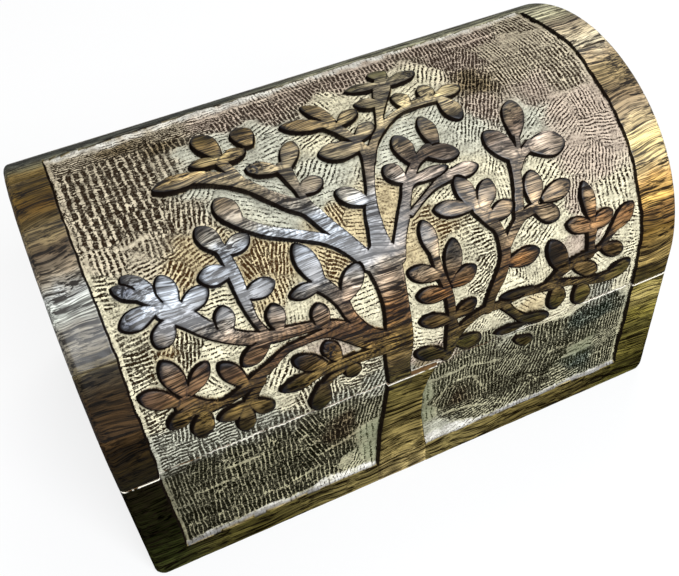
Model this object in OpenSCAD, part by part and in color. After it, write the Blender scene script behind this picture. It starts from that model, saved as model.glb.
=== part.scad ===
// Keepsake box: a carved wooden chest with a coopered, barrel-top lid.
// The base is four butt-jointed boards round a let-in bottom. The lid is nine staves
// glued edge to edge over two inset end arches and rounded outside. A tree stands in
// relief in a sunk panel that runs from the front board over five staves of the lid.
// Millimetres, +Z up, front towards -Y. The origin is the centre of the underside.

/* [Box] */
// Length along the grain, left to right
box_l = 203; // [190:1:220]
// Width, front to back
box_w = 125.4; // [122:0.2:129]
// Height of the seam between base and lid
seam_h = 54.2; // [50:0.2:60]
// Thickness of the base boards
board_t = 12; // [11.5:0.5:13]
// Thickness of the bottom board
bottom_t = 8; // [5:0.5:12]
// Gap between lid and base when shut
seam_gap = 0.3; // [0.2:0.05:0.5]
// Rounding of the upright corners and of the lid's end edges
corner_r = 2.2; // [1:0.1:3]
// Rounding of the bottom corners at the two ends
foot_r = 3; // [1:0.5:4]

/* [Lid] */
// Upright part of the lid's side above the seam
side_h = 10; // [8:0.5:14]
// Radius of the front and back haunches
haunch_r = 57.3; // [55:0.1:59]
// Turn of each haunch, from upright to the crown
haunch_turn = 60; // [58:1:62]
// Turn at which the first stave ends and the second begins
first_joint = 14.3; // [12:0.1:16]
// Thickness of the staves at their joints
stave_t = 10.5; // [10:0.5:11.5]
// Thickness of the end arches
arch_t = 12; // [10:0.5:14]

/* [Carving] */
// Depth of the sunk panel
panel_depth = 2.4; // [1.5:0.1:3]
// Plain border left of the panel
border_left = 13; // [12:0.5:14]
// Plain border right of the panel
border_right = 14; // [13:0.5:15]
// Plain border below the panel
border_bottom = 10.5; // [9:0.5:12]
// Far edge of the panel, measured up the front and over the lid
panel_end = 187; // [182:1:192]

/* [Hinges] */
// Distance of each hinge's centre from the middle of the box
hinge_x = 62; // [50:1:70]
// Length of a hinge
hinge_l = 25; // [22:1:28]
// Depth of the hinge axis behind the back face
hinge_in = 4; // [3.5:0.1:4.5]
// Slope of the two bevels behind the axis, which meet when the lid is open
stop_slope = 48.5; // [46:0.5:50]
// Radius of the knuckles
knuckle_r = 1.7; // [1.5:0.1:1.8]
// Radius of the pin
pin_r = 0.75; // [0.6:0.05:0.9]
// Thickness of a leaf
leaf_t = 1; // [0.8:0.1:1.2]
// Distance between the two screws of a leaf
screw_pitch = 15; // [13:1:16]

/* [Hidden] */
$fn = 96;

// The dome is a three-centred arch: two haunches and a crown, tangent where they meet.
half_w = box_w / 2;
spring_z = seam_h + side_h;
haunch_y = half_w - haunch_r;
crown_r = haunch_r + haunch_y / cos(haunch_turn);
crown_z = spring_z - (crown_r - haunch_r) * sin(haunch_turn);
base_top = seam_h - seam_gap / 2;
lid_foot = seam_h + seam_gap / 2;
inner_y = half_w - board_t;
axis_y = half_w - hinge_in;

// Joints between staves, as the turn from the front round to the back.
haunch_step = (haunch_turn - first_joint) / 2;
crown_step = (180 - 2 * haunch_turn) / 3;
TURNS = [
    0, first_joint, first_joint + haunch_step, haunch_turn,
    haunch_turn + crown_step, haunch_turn + 2 * crown_step, 180 - haunch_turn,
    180 - first_joint - haunch_step, 180 - first_joint, 180
];

// Centre and radius of the arc that a turn lies on.
function arc_r(t) = t > haunch_turn && t < 180 - haunch_turn ? crown_r : haunch_r;
function arc_c(t) =
    t > haunch_turn && t < 180 - haunch_turn ? [0, crown_z]
    : [t < 90 ? -haunch_y : haunch_y, spring_z];
// Point of the section at a turn, a depth below the outer face.
function on_arch(t, depth) =
    arc_c(t) + (arc_r(t) - depth) * [-cos(t), sin(t)];
// Distance up the front and over the lid to a turn, as a tape would measure it.
function run_to(t) =
    spring_z + PI / 180 * (
        t <= haunch_turn ? haunch_r * t
        : haunch_r * haunch_turn + crown_r * (t - haunch_turn)
    );

// ---- The tree, drawn flat: x from the left end, s up the front and over the lid ----

// The drawing is made for a box 203 long with its crown at 159.8, and scales with it.
draw_x = box_l / 203;
draw_s = run_to(90) / 159.8;

// Limbs are strokes through points [x, s, width].
LIMBS = [
    // trunk on the lid, and its fork
    [[95.7, 52, 8.6], [95.4, 62, 8.8], [96, 72, 10.5], [97.2, 84, 8.8], [97.4, 94, 9.6], [97, 102, 12]],
    // lower left: two limbs that leave the trunk together
    [[95, 74, 7], [86, 77.5, 5.4], [79, 83, 4.4], [73.5, 86.2, 3.6], [66, 86.2, 2.6], [60, 85.5, 2.8],
        [54.5, 82.6, 3.4], [49, 80, 4.2], [43, 77.2, 3.6], [37.5, 75.9, 3.2], [32, 77, 5.6], [27, 80.5, 7]],
    [[91, 78, 4], [85, 81, 5], [79, 86.5, 3.6], [73, 89.3, 3], [66, 90.5, 4], [58, 91.3, 4.6],
        [51, 93.3, 4.6], [45.5, 96.3, 5], [40, 100.5, 5.6], [35.5, 105.5, 6.4], [31, 110.5, 8]],
    [[50.5, 78.8, 3.6], [47.5, 75.5, 3.8], [45, 71.5, 5]],
    [[95, 72.6, 6.4], [87, 72.5, 4.6], [80, 73, 4.6], [73, 73.3, 4], [67, 73, 4]],
    [[77, 71.2, 3], [72, 69, 3.2], [68.4, 65.5, 4]],
    [[89.5, 78.5, 3.4], [85.5, 82.5, 4], [82.3, 88.5, 3.8], [80.8, 94, 4.6], [78.5, 98.2, 4.8], [75.5, 102, 5.4]],
    [[55.8, 93, 3], [53.9, 98, 2.6], [53, 104, 3.6], [52.6, 112, 4.4], [52.2, 118, 3.8], [51.3, 122.5, 4]],
    // upper left: two long limbs
    [[92.5, 102.5, 6], [88.5, 108.2, 4.6], [82, 113.9, 3.6], [74, 118.1, 3.6], [66.5, 122, 3.8], [60.5, 126.8, 4.2],
        [58.2, 130, 5]],
    [[91.5, 105.5, 4.6], [88, 111.5, 4.6], [84, 118, 4.8], [80.5, 124.5, 5.2], [76, 128, 4.8], [71, 133, 4],
        [66, 138.8, 4.4], [60, 143.6, 5.4], [53, 147.2, 5.4]],
    [[81, 125.5, 3.6], [80.3, 130.5, 2.6], [79.6, 135.5, 4], [79, 140, 5.4]],
    [[65.3, 140, 3.8], [63.6, 145.5, 3.8], [62.2, 150.5, 4.4]],
    // centre limb and its fork
    [[97.5, 102, 9], [97.9, 110, 6], [98.8, 117, 4.8], [100.9, 123, 3.2], [103, 129, 3.6], [105, 135, 4.4],
        [104, 140.5, 3.2], [101.8, 145.8, 4], [98.4, 151.5, 5]],
    [[105, 133, 4.2], [108.4, 137.8, 3.2], [112.8, 142, 3.4], [117.2, 144.8, 3], [122.5, 147, 2.6],
        [129, 148, 4], [136, 148, 5]],
    [[113.2, 142.6, 3.2], [115.4, 147.8, 3], [117.8, 152.5, 4.4], [121, 158, 6], [124.3, 163.5, 6.4]],
    // right-hand limb
    [[101.8, 101, 5.4], [104.6, 107, 4.2], [107.8, 112.4, 4.4], [110.6, 117.4, 3.6], [113.2, 121.4, 4],
        [119, 122.4, 3.4], [126, 121.8, 2.4]],
    [[110.5, 112.4, 2.4], [115.6, 115.4, 2], [120.5, 117.9, 2.6], [126.5, 119.9, 4.6]],
    [[113.5, 122.4, 3.4], [118.5, 127.3, 3.4], [124, 130, 4.4]],
    // right-hand group beside the trunk
    [[113, 56.5, 4], [114.6, 61, 4.6], [115.3, 67, 5.4], [115.2, 74, 3.4], [115.4, 80, 3.4], [114.8, 86, 3.2],
        [113.6, 92, 3.2], [113.3, 99, 3.4]],
    // lower right: the long low limb, its rising limb and their twigs
    [[115, 64.5, 4.6], [120, 69, 3.8], [126, 71.7, 3.4], [133, 71.5, 3.4], [141, 71.9, 2.4], [148, 71.5, 3.4],
        [154, 70.6, 4.4], [160, 69.2, 3.2], [166, 66.8, 3.4], [172, 65.2, 4.6], [177, 64.8, 5.6]],
    [[128.5, 71.5, 4], [130.2, 76.5, 3.8], [133.4, 81.8, 4.4], [136.3, 87.3, 4], [137.1, 92.5, 4.2],
        [136.4, 98, 3.6], [134.6, 102, 5], [132.4, 106.5, 6]],
    [[137.6, 91.5, 3.2], [141, 95.8, 3.6], [145.5, 99.4, 3.6], [150.5, 100.6, 4]],
    [[143.4, 97.5, 3], [145, 102.5, 3.8], [146.8, 108.5, 3.6], [148.4, 114.5, 3.8], [149.6, 119.5, 5]],
    [[149.5, 114.5, 2.6], [152.3, 118, 3.2], [156.5, 120.3, 4]],
    [[151.2, 118.5, 2], [153.6, 125.5, 2.4]],
    [[151, 71.5, 3.6], [157, 75.4, 4.4], [164, 77.6, 3.8], [171, 78.8, 2.4], [175, 81.6, 2.8], [178, 84.6, 4]],
    [[167.8, 77.5, 3.6], [168.4, 82, 3.2], [169.3, 87, 4.4]],
    [[135, 70, 3.8], [138.4, 65, 3.2], [142.4, 60.4, 4], [147, 57.4, 5]],
];

// Leaves are [x, s of the stalk, x, s of the tip, width].
LEAVES = [
    // lower left fan and its cluster
    [25.5, 81.8, 14.8, 88.4, 6.8], [28, 83, 24.3, 96.5, 6.8], [28.5, 83, 37, 91.2, 5.8],
    [46.2, 78.6, 39.8, 89.3, 6.2], [56.5, 91.4, 46.1, 85.2, 6.2], [30, 79.4, 20, 73.2, 6.4],
    [31.6, 76.4, 28.6, 64.4, 7.4], [46.5, 72.2, 34.6, 68.6, 6.4], [45.5, 72.4, 52.5, 64.4, 6.4],
    [44, 71.4, 42.3, 58.5, 6.4],
    // second fan
    [30.5, 111.4, 21.8, 123.9, 7], [25.5, 115.5, 18.2, 121.6, 4.6], [33.6, 109.6, 32.1, 120.6, 6.5],
    [34.2, 107.6, 44.2, 112.6, 6.4], [28.5, 111.6, 16.6, 109.4, 6.8], [31.2, 107.4, 24.8, 100.1, 7],
    [45, 96.5, 46.1, 105.8, 6.4], [60, 92, 60.3, 101.1, 6.3], [73.4, 87.4, 73.2, 96.4, 6.2],
    // stem of four leaves
    [51.8, 120.6, 47.2, 131, 6.8], [52, 119.8, 61.1, 123.2, 6], [53, 105.8, 63.4, 107.2, 6.2],
    [52.6, 114.2, 42.1, 115.4, 6.7],
    // stem of three leaves left of the trunk
    [81.2, 93.6, 89.6, 103.8, 7.2], [76.6, 100.6, 72.4, 116, 7.2], [77, 101.4, 65.8, 101, 5],
    // low cluster left of the trunk
    [70, 73.2, 55.2, 70.9, 6.2], [71.5, 74.8, 61.2, 81.2, 6.4], [76, 74.6, 72.2, 83.2, 6],
    [69.2, 68.5, 66.7, 54.2, 7.8], [78.2, 73, 80.8, 64.2, 6.2],
    // upper left limbs
    [59.8, 126.6, 56, 138.2, 7.7], [57, 147.4, 39.4, 148, 6.6], [63.5, 150.4, 52.7, 153, 4.8],
    [61.8, 149.8, 71.4, 153, 5.8], [62.4, 152, 59.2, 167.7, 8], [72.8, 152.6, 72.4, 164.6, 7.8],
    [78, 139.8, 68.2, 145, 5.8], [79.6, 139, 85.8, 150, 6.3], [80, 130.2, 88.9, 132.8, 6.2],
    // centre limb
    [99.2, 119.8, 90.4, 127.1, 6.2], [99, 150.6, 84.4, 157.4, 6.6], [101.2, 150.6, 95, 165.2, 6],
    [101.6, 149, 110.2, 154.8, 5.6], [104, 140.6, 112.2, 147, 5.8], [104.8, 138.4, 90.8, 141, 7.6],
    [119, 152.4, 110.3, 156.7, 5.8], [122.5, 162, 110.6, 165.2, 5.8], [124.4, 163.4, 124.5, 173, 7.2],
    [124.5, 160.2, 136.3, 164.8, 6.4], [125.2, 146.6, 125, 156.2, 6.4], [132.4, 146.6, 135.1, 155.8, 6.2],
    [135, 147.4, 146, 150.3, 5.8], [136.4, 147.4, 139.5, 136.6, 7],
    // right-hand limb
    [112.6, 122.2, 108.2, 129.8, 6.6], [117.6, 126.8, 116.2, 139, 7], [127, 129.6, 127.2, 142.9, 6.2],
    [121.5, 129.6, 133.4, 125.8, 6.6], [112.8, 121.6, 127.9, 122.8, 4.4], [125, 119.4, 137.5, 120, 5.4],
    // fan of four
    [131.4, 106, 128.2, 118.9, 6.6], [133, 105.6, 138.8, 114.6, 6.8], [130.4, 107.6, 117.4, 111, 5.8],
    [134, 102, 144, 105, 6.2],
    // rising limb
    [150, 117, 143.7, 129.9, 8.4], [152.8, 124.2, 158, 137.8, 7.8], [155, 119.7, 168.6, 117.8, 9],
    [150.4, 101.6, 153.6, 112.6, 7.2], [153.2, 102, 165.5, 104.6, 6.6], [149.8, 100.4, 158.8, 94.8, 6.8],
    [136.8, 86, 149.8, 85.8, 7],
    // group beside the trunk
    [114.2, 90.2, 103.3, 95.4, 6.2], [113.6, 96.6, 112.9, 109.4, 6], [116.9, 87, 121, 100.7, 6.6],
    [116.2, 85.8, 126.6, 89, 6.4], [116, 83.4, 104.4, 86.4, 6.2], [115.4, 73, 103.9, 77.2, 6],
    [115.6, 73.8, 125, 77.1, 6], [113.4, 57.4, 101.4, 64.6, 6.8], [116, 62.8, 126.6, 57.2, 7.8],
    // low limb
    [146, 73.2, 133, 73.8, 3.8], [158.2, 74.2, 153.5, 88, 7.4], [161, 76.2, 171.4, 68.8, 6.2],
    [172.2, 79.2, 181.6, 73, 6.2], [176.4, 83.2, 186.5, 90.5, 6.6], [170.4, 87, 160.1, 91.5, 6.2],
    [168.2, 87.4, 178.4, 90.2, 6.2], [169.6, 89, 169.8, 103.4, 5.6], [173.6, 63.6, 185.4, 67.8, 7.6],
    [164, 67.4, 167.2, 54.4, 7.6], [154.6, 70.2, 156.2, 57.6, 7.6], [141, 60.6, 153.6, 55.4, 5.8],
    [144, 57.2, 131.6, 57.4, 4.2], [140, 51, 147.8, 45.2, 5.6],
];

// The trunk on the front board widens to its root and to the small shelf at the seam.
ROOT = [
    [85.5, 0], [85.5, 10.5], [87.4, 30], [90.4, 48], [91.2, 54.2],
    [109.8, 54.2], [106.4, 49], [104.2, 42], [103.5, 30], [105.2, 10.5], [105.2, 0]
];

function mix(a, b, t) = a + (b - a) * t;
// Smooth curve through the points of a stroke, three steps to a span.
function bend(p, i, t) =
    let (
        a = p[max(i - 1, 0)],
        b = p[i],
        c = p[i + 1],
        d = p[min(i + 2, len(p) - 1)]
    )
    0.5 * (2 * b + (c - a) * t + (2 * a - 5 * b + 4 * c - d) * t * t + (3 * b - a - 3 * c + d) * t * t * t);
function smooth_path(p) = [
    for (i = [0 : len(p) - 2], k = [0 : 2]) bend(p, i, k / 3),
    p[len(p) - 1]
];
function heading(p, i) =
    let (
        d = p[min(i + 1, len(p) - 1)] - p[max(i - 1, 0)],
        n = norm([d.x, d.y])
    )
    [d.x, d.y] / n;

// One limb: its outline runs up one side of the stroke and down the other.
module limb(p) {
    q = smooth_path(p);
    n = len(q) - 1;
    polygon([
        for (i = [0 : n]) let (h = heading(q, i)) [q[i].x - h.y * q[i].z / 2, q[i].y + h.x * q[i].z / 2],
        for (i = [n : -1 : 0]) let (h = heading(q, i)) [q[i].x + h.y * q[i].z / 2, q[i].y - h.x * q[i].z / 2]
    ]);
}

// One leaf: narrow at the stalk, widest past the middle, with a blunt round tip.
LEAF_STEPS = [0, 0.18, 0.36, 0.55, 0.74, 0.88, 0.97];
function leaf_half(t) = pow(sin(180 * pow(0.15 + 0.85 * t, 1.5)), 0.6) / 2;
module leaf(v) {
    along = [v[2] - v[0], v[3] - v[1]];
    length = norm(along);
    n = len(LEAF_STEPS) - 1;
    translate([v[0], v[1]])
        rotate(atan2(along.y, along.x))
            polygon([
                for (t = LEAF_STEPS) [t * length, -v[4] * leaf_half(t)],
                [length, 0],
                for (i = [n : -1 : 0]) [LEAF_STEPS[i] * length, v[4] * leaf_half(LEAF_STEPS[i])]
            ]);
}

// True where a stroke or a leaf reaches into a band of the drawing.
function limb_in(p, s0, s1) = min([for (v = p) v.y]) < s1 + 4 && max([for (v = p) v.y]) > s0 - 4;
function leaf_in(v, s0, s1) = min(v[1], v[3]) < s1 + 4 && max(v[1], v[3]) > s0 - 4;

// The raised wood of the panel between two heights of the drawing. Notches that a gouge
// can't enter close up, and slips too thin to stand at the edge of a board come off.
module tree(s0, s1) {
    offset(delta = 0.7) offset(delta = -0.7) intersection() {
        translate([0, s0]) square([box_l, s1 - s0]);
        offset(delta = -0.3) offset(delta = 0.3) scale([draw_x, draw_s]) {
            polygon(ROOT);
            for (p = LIMBS) if (limb_in(p, s0 / draw_s, s1 / draw_s)) limb(p);
            for (v = LEAVES) if (leaf_in(v, s0 / draw_s, s1 / draw_s)) leaf(v);
        }
    }
}

// ---- Helpers ----

// Turns a section drawn in (y, z) to run along the box.
module along_x() rotate([90, 0, 90]) children();

// Block between two corners.
module block(a, b) translate(a) cube(b - a);

// Square corner of side r less its rounding, to take off an arris at the origin.
module spandrel(r) {
    difference() {
        translate([-1, -1]) square([r + 1, r + 1]);
        translate([r, r]) circle(r);
    }
}

// Outline of the box from above, with its four corners rounded.
module plan() {
    difference() {
        square([box_l, box_w], center = true);
        for (a = [0, 1], b = [0, 1])
            mirror([a, 0]) mirror([0, b]) translate([-box_l / 2, -half_w]) spandrel(corner_r);
    }
}

// Outline of the base from the front, with its two bottom corners rounded.
module front_view() {
    difference() {
        translate([-box_l / 2, 0]) square([box_l, base_top]);
        for (a = [0, 1]) mirror([a, 0]) translate([-box_l / 2, 0]) spandrel(foot_r);
    }
}

// ---- Hinges ----

// One knuckle, along X.
module knuckle(x0, x1, r) translate([x0, axis_y, seam_h]) rotate([0, 90, 0]) cylinder(r = r, h = x1 - x0);

third = hinge_l / 3;
knuckle_gap = 0.2;
pin_play = 0.05;
plate_y0 = inner_y + 0.6;
plate_y1 = axis_y - knuckle_r - 0.3;

// Countersunk screw, head up, with its top at z = 0.
module screw() {
    difference() {
        rotate_extrude() polygon([[0, 0], [1.5, 0], [0.8, -0.7], [0.8, -6.5], [0, -8]]);
        translate([-2, -0.2, -0.45]) cube([4, 0.4, 1]);
    }
}
module screw_hole() rotate_extrude() polygon([[0, 0.5], [1.5, 0.5], [1.5, 0], [0.8, -0.7], [0.8, -6.5], [0, -8]]);

// Places its children at the four screws of the base leaves, or of the lid's.
module at_screws(side) {
    for (x = [-hinge_x, hinge_x], dx = [-screw_pitch / 2, screw_pitch / 2])
        translate([x + dx, (plate_y0 + plate_y1) / 2, side < 0 ? base_top : lid_foot])
            mirror([0, 0, side < 0 ? 0 : 1]) children();
}

// Leaf of a hinge: a plate let into the edge, and the knuckles that it rolls into.
// side is -1 for the base leaf, with two knuckles, and 1 for the lid leaf, with one.
module hinge_leaf(x, side) {
    z0 = side < 0 ? base_top - leaf_t : lid_foot;
    spans = side < 0
        ? [[-hinge_l / 2, -third / 2 - knuckle_gap], [third / 2 + knuckle_gap, hinge_l / 2]]
        : [[-third / 2 + knuckle_gap, third / 2 - knuckle_gap]];
    difference() {
        union() {
            block([x - hinge_l / 2, plate_y0, z0], [x + hinge_l / 2, plate_y1, z0 + leaf_t]);
            for (s = spans) {
                block([x + s[0], plate_y1 - 0.5, z0], [x + s[1], axis_y - pin_r - 0.3, z0 + leaf_t]);
                knuckle(x + s[0], x + s[1], knuckle_r);
            }
        }
        // The pin is tight in the base leaf and turns in the lid leaf.
        knuckle(x - hinge_l, x + hinge_l, side < 0 ? pin_r : pin_r + pin_play);
        at_screws(side) screw_hole();
    }
}

// What the hinges take out of the wood: the plate's bed and room for the knuckles.
module hinge_beds(side) {
    z0 = side < 0 ? base_top - leaf_t : lid_foot - 1;
    for (x = [-hinge_x, hinge_x]) {
        block([x - hinge_l / 2, plate_y0, z0], [x + hinge_l / 2, axis_y, z0 + leaf_t + 1]);
        knuckle(x - hinge_l / 2 - 0.5, x + hinge_l / 2 + 0.5, knuckle_r + 0.3);
    }
    at_screws(side) screw_hole();
}

// Bevel behind the hinge axis, full length. The two bevels stop the lid when they meet.
module stop_bevel(side) {
    rise = (hinge_in + 2) * tan(stop_slope);
    along_x()
        translate([0, 0, -box_l])
            linear_extrude(height = 2 * box_l)
                polygon([
                    [axis_y, seam_h], [axis_y + hinge_in + 2, seam_h + side * rise],
                    [axis_y + hinge_in + 2, seam_h - side * 2], [axis_y, seam_h - side * 2]
                ]);
}

module pin(x) {
    color("darkgoldenrod")
        knuckle(x - hinge_l / 2 - 0.4, x + hinge_l / 2 + 0.4, pin_r);
}

// ---- Base ----

// Part of the base between two corners, with the box's rounded outline.
module base_part(a, b) {
    intersection() {
        block(a, b);
        linear_extrude(height = base_top) plan();
        rotate([90, 0, 0]) translate([0, 0, -box_w]) linear_extrude(height = 2 * box_w) front_view();
    }
}

module base_front_board() {
    color("olivedrab")
        difference() {
            base_part([-box_l / 2, -half_w, 0], [box_l / 2, -inner_y, base_top]);
            difference() {
                block(
                    [border_left - box_l / 2, -half_w - 1, border_bottom],
                    [box_l / 2 - border_right, -half_w + panel_depth, base_top + 1]
                );
                translate([-box_l / 2, -half_w + panel_depth + 1, 0])
                    rotate([90, 0, 0])
                        linear_extrude(height = panel_depth + 3) offset(delta = 0) tree(0, base_top + 1);
            }
        }
}

module base_back_board() {
    color("saddlebrown")
        difference() {
            base_part([-box_l / 2, inner_y, 0], [box_l / 2, half_w, base_top]);
            hinge_beds(-1);
            stop_bevel(-1);
        }
}

module base_end(side) {
    color("sienna")
        mirror([side < 0 ? 0 : 1, 0, 0])
            base_part([-box_l / 2, -inner_y, 0], [board_t - box_l / 2, inner_y, base_top]);
}
module base_end_left() base_end(-1);
module base_end_right() base_end(1);

module bottom_board() {
    color("peru")
        block([board_t - box_l / 2, -inner_y, 0], [box_l / 2 - board_t, inner_y, bottom_t]);
}

module base_hinge_screws() {
    color("goldenrod") at_screws(-1) screw();
}
module hinge_left_base_leaf() {
    color("goldenrod") hinge_leaf(-hinge_x, -1);
}
module hinge_right_base_leaf() {
    color("goldenrod") hinge_leaf(hinge_x, -1);
}
module hinge_left_pin() pin(-hinge_x);
module hinge_right_pin() pin(hinge_x);

// ---- Lid ----

// Length of a stave in section, from below its inner face out, with its end edges rounded.
module stave_profile(r) {
    difference() {
        translate([r - stave_t - 6, -box_l / 2]) square([stave_t + 6, box_l]);
        for (a = [0, 1]) mirror([0, a]) translate([r, -box_l / 2]) mirror([1, 0]) spandrel(corner_r);
    }
}

// Ring about an arc's centre between two turns, its profile drawn as (radius, x).
module ring(t0, t1) {
    c = arc_c((t0 + t1) / 2);
    translate([0, c.x, c.y])
        along_x() rotate_extrude(angle = t1 - t0, start = 180 - t1, $fn = 360) children();
}

// Wedge that a stave fills: flat inside, cut on the two joint planes.
module wedge(k) {
    t0 = TURNS[k - 1];
    t1 = TURNS[k];
    m = (t0 + t1) / 2;
    foot_in = [(m < 90 ? -1 : 1) * inner_y, lid_foot];
    foot_out = [(m < 90 ? -1 : 1) * (half_w + 5), lid_foot];
    c = arc_c(m);
    r = arc_r(m);
    a_in = c + (r - stave_t) * [-cos(t0), sin(t0)];
    a_out = c + (r + 5) * [-cos(t0), sin(t0)];
    b_in = c + (r - stave_t) * [-cos(t1), sin(t1)];
    b_out = c + (r + 5) * [-cos(t1), sin(t1)];
    along_x()
        translate([0, 0, -box_l])
            linear_extrude(height = 2 * box_l)
                polygon(
                    k == 1 ? [foot_in, foot_out, [-half_w - 5, spring_z], b_out, b_in]
                    : k == 9 ? [foot_in, foot_out, [half_w + 5, spring_z], a_out, a_in]
                    : [a_in, a_out, b_out, b_in]
                );
}

// Upright foot of the first and last staves, with the box's rounded outline.
module stave_foot(k) {
    y0 = k == 1 ? -half_w : half_w - stave_t - 6;
    intersection() {
        block([-box_l / 2, y0, seam_h - 1], [box_l / 2, y0 + stave_t + 6, spring_z]);
        translate([0, 0, seam_h - 1]) linear_extrude(height = side_h + 1) plan();
    }
}

module plain_stave(k) {
    t0 = TURNS[k - 1];
    t1 = TURNS[k];
    intersection() {
        union() {
            ring(k == 1 ? 0 : t0 - 2, k == 9 ? 180 : t1 + 2) stave_profile(arc_r((t0 + t1) / 2));
            if (k == 1 || k == 9) stave_foot(k);
        }
        wedge(k);
    }
}

// Sunk ground of a stave: a shell under its outer face over the panel, less the tree.
// The tree is drawn across the stave's chord, so that it meets its neighbours' at the joints.
module sunk_ground(k) {
    t0 = k == 1 ? 0 : TURNS[k - 1];
    t1 = TURNS[k];
    m = (t0 + t1) / 2;
    r = arc_r(m);
    s0 = run_to(t0);
    s1 = run_to(t1);
    top = min(m + (panel_end - (s0 + s1) / 2) * 180 / PI / r, t1 + 2);
    chord = sin((t1 - t0) / 2) * r;
    c = arc_c(m);
    difference() {
        union() {
            ring(k == 1 ? 0 : t0 - 2, top)
                translate([r - panel_depth, border_left - box_l / 2])
                    square([panel_depth + 2, box_l - border_left - border_right]);
            if (k == 1)
                block(
                    [border_left - box_l / 2, -half_w - 2, seam_h - 1],
                    [box_l / 2 - border_right, -half_w + panel_depth, spring_z]
                );
        }
        // Local frame: x along the box, y up the chord, z out along the stave's own normal.
        translate([-box_l / 2, c.x, c.y])
            rotate([m == 0 ? 90 : 90 - m, 0, 0])
                translate([0, 0, r - panel_depth - 2])
                    linear_extrude(height = panel_depth + 6)
                        offset(delta = 0)
                            scale([1, chord / ((s1 - s0) / 2)])
                                translate([0, -(s0 + s1) / 2]) tree(s0 - 0.3, s1 + 0.3);
        if (k == 1)
            translate([-box_l / 2, -half_w + panel_depth + 1, 0])
                rotate([90, 0, 0])
                    linear_extrude(height = panel_depth + 5)
                        offset(delta = 0) tree(seam_h - 2, spring_z);
    }
}

module stave(k) {
    color(k < 5 ? "sienna" : "saddlebrown")
        difference() {
            plain_stave(k);
            if (k <= 6) sunk_ground(k);
            if (k == 9) {
                hinge_beds(1);
                stop_bevel(1);
            }
        }
}
module lid_stave_1() stave(1);
module lid_stave_2() stave(2);
module lid_stave_3() stave(3);
module lid_stave_4() stave(4);
module lid_stave_5() stave(5);
module lid_stave_6() stave(6);
module lid_stave_7() stave(7);
module lid_stave_8() stave(8);
module lid_stave_9() stave(9);

// Arched end board, cut to the flat inner faces of the staves.
module lid_end(side) {
    color("sienna")
        translate([side < 0 ? -box_l / 2 : box_l / 2 - arch_t, 0, 0])
            along_x()
                linear_extrude(height = arch_t)
                    polygon([
                        [-inner_y, lid_foot],
                        for (k = [1 : 8]) on_arch(TURNS[k], stave_t),
                        [inner_y, lid_foot]
                    ]);
}
module lid_end_left() lid_end(-1);
module lid_end_right() lid_end(1);

module lid_hinge_screws() {
    color("goldenrod") at_screws(1) screw();
}
module hinge_left_lid_leaf() {
    color("goldenrod") hinge_leaf(-hinge_x, 1);
}
module hinge_right_lid_leaf() {
    color("goldenrod") hinge_leaf(hinge_x, 1);
}

base_front_board();
base_back_board();
base_end_left();
base_end_right();
bottom_board();
hinge_left_base_leaf();
hinge_right_base_leaf();
hinge_left_pin();
hinge_right_pin();
base_hinge_screws();
lid_stave_1();
lid_stave_2();
lid_stave_3();
lid_stave_4();
lid_stave_5();
lid_stave_6();
lid_stave_7();
lid_stave_8();
lid_stave_9();
lid_end_left();
lid_end_right();
hinge_left_lid_leaf();
hinge_right_lid_leaf();
lid_hinge_screws();
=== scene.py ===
"""A keepsake box of carved hardwood with a coopered, barrel-top lid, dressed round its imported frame.

The studio is measured in metres. The box is measured in millimetres, as a maker would write them,
which become metres where a mesh is made: x runs from the left end, and s runs like a tape up the
front and over the lid.
"""

import math

import bpy
import numpy as np
from mathutils import Matrix, Vector


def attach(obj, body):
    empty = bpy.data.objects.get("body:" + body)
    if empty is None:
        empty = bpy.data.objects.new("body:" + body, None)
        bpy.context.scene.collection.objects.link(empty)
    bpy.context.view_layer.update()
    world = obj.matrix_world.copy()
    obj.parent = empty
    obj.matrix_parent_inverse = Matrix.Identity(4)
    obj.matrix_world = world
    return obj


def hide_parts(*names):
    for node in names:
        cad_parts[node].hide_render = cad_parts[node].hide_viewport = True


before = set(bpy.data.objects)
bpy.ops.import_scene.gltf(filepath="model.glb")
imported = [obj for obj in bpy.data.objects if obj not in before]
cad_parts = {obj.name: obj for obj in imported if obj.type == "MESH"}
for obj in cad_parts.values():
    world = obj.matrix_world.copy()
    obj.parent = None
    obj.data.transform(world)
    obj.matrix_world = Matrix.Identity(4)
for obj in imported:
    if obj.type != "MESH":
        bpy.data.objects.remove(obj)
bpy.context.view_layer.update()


# ---- Studio ----
# A pale table top with soft daylight from the front and a little from above, seen from the
# front, somewhat to the left and well above the box.
WHITE = (1, 1, 1, 1)
DAYLIGHT, WARM_LIGHT = (0.93, 0.96, 1.0), (1.0, 0.98, 0.95)
ROOM_STRENGTH = 0.34
TABLE_GREY, TABLE_GLOW = 0.86, 0.8
BOX_MIDDLE = (0, 0, 0.07)
CAMERA_PLACE = (-0.086125, -0.230018, 0.292726)
CAMERA_RIGHT = Vector((0.90881143, -0.41168693, -0.0676436))
CAMERA_UP = Vector((0.34044006, 0.63805329, 0.69064359))
CAMERA_LENS, CAMERA_SENSOR = 48.13, 36


def node(tree, kind, values=None, **settings):
    """A new node with its settings and socket values; a socket value may be another node's output."""
    made = tree.nodes.new(kind)
    for key, value in settings.items():
        setattr(made, key, value)
    for key, value in (values or {}).items():
        if isinstance(value, bpy.types.NodeSocket):
            tree.links.new(value, made.inputs[key])
        else:
            made.inputs[key].default_value = value
    return made


def sum_node(tree, operation, *values, clamp=False):
    """A math node's result; each of its values may be another node's output."""
    made = node(tree, "ShaderNodeMath", dict(enumerate(values)), operation=operation, use_clamp=clamp)
    return made.outputs[0]


def empty_material(name):
    """A new material and its node tree, with nothing in it."""
    material = bpy.data.materials.new(name)
    material.use_nodes = True
    material.node_tree.nodes.clear()
    return material, material.node_tree


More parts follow.
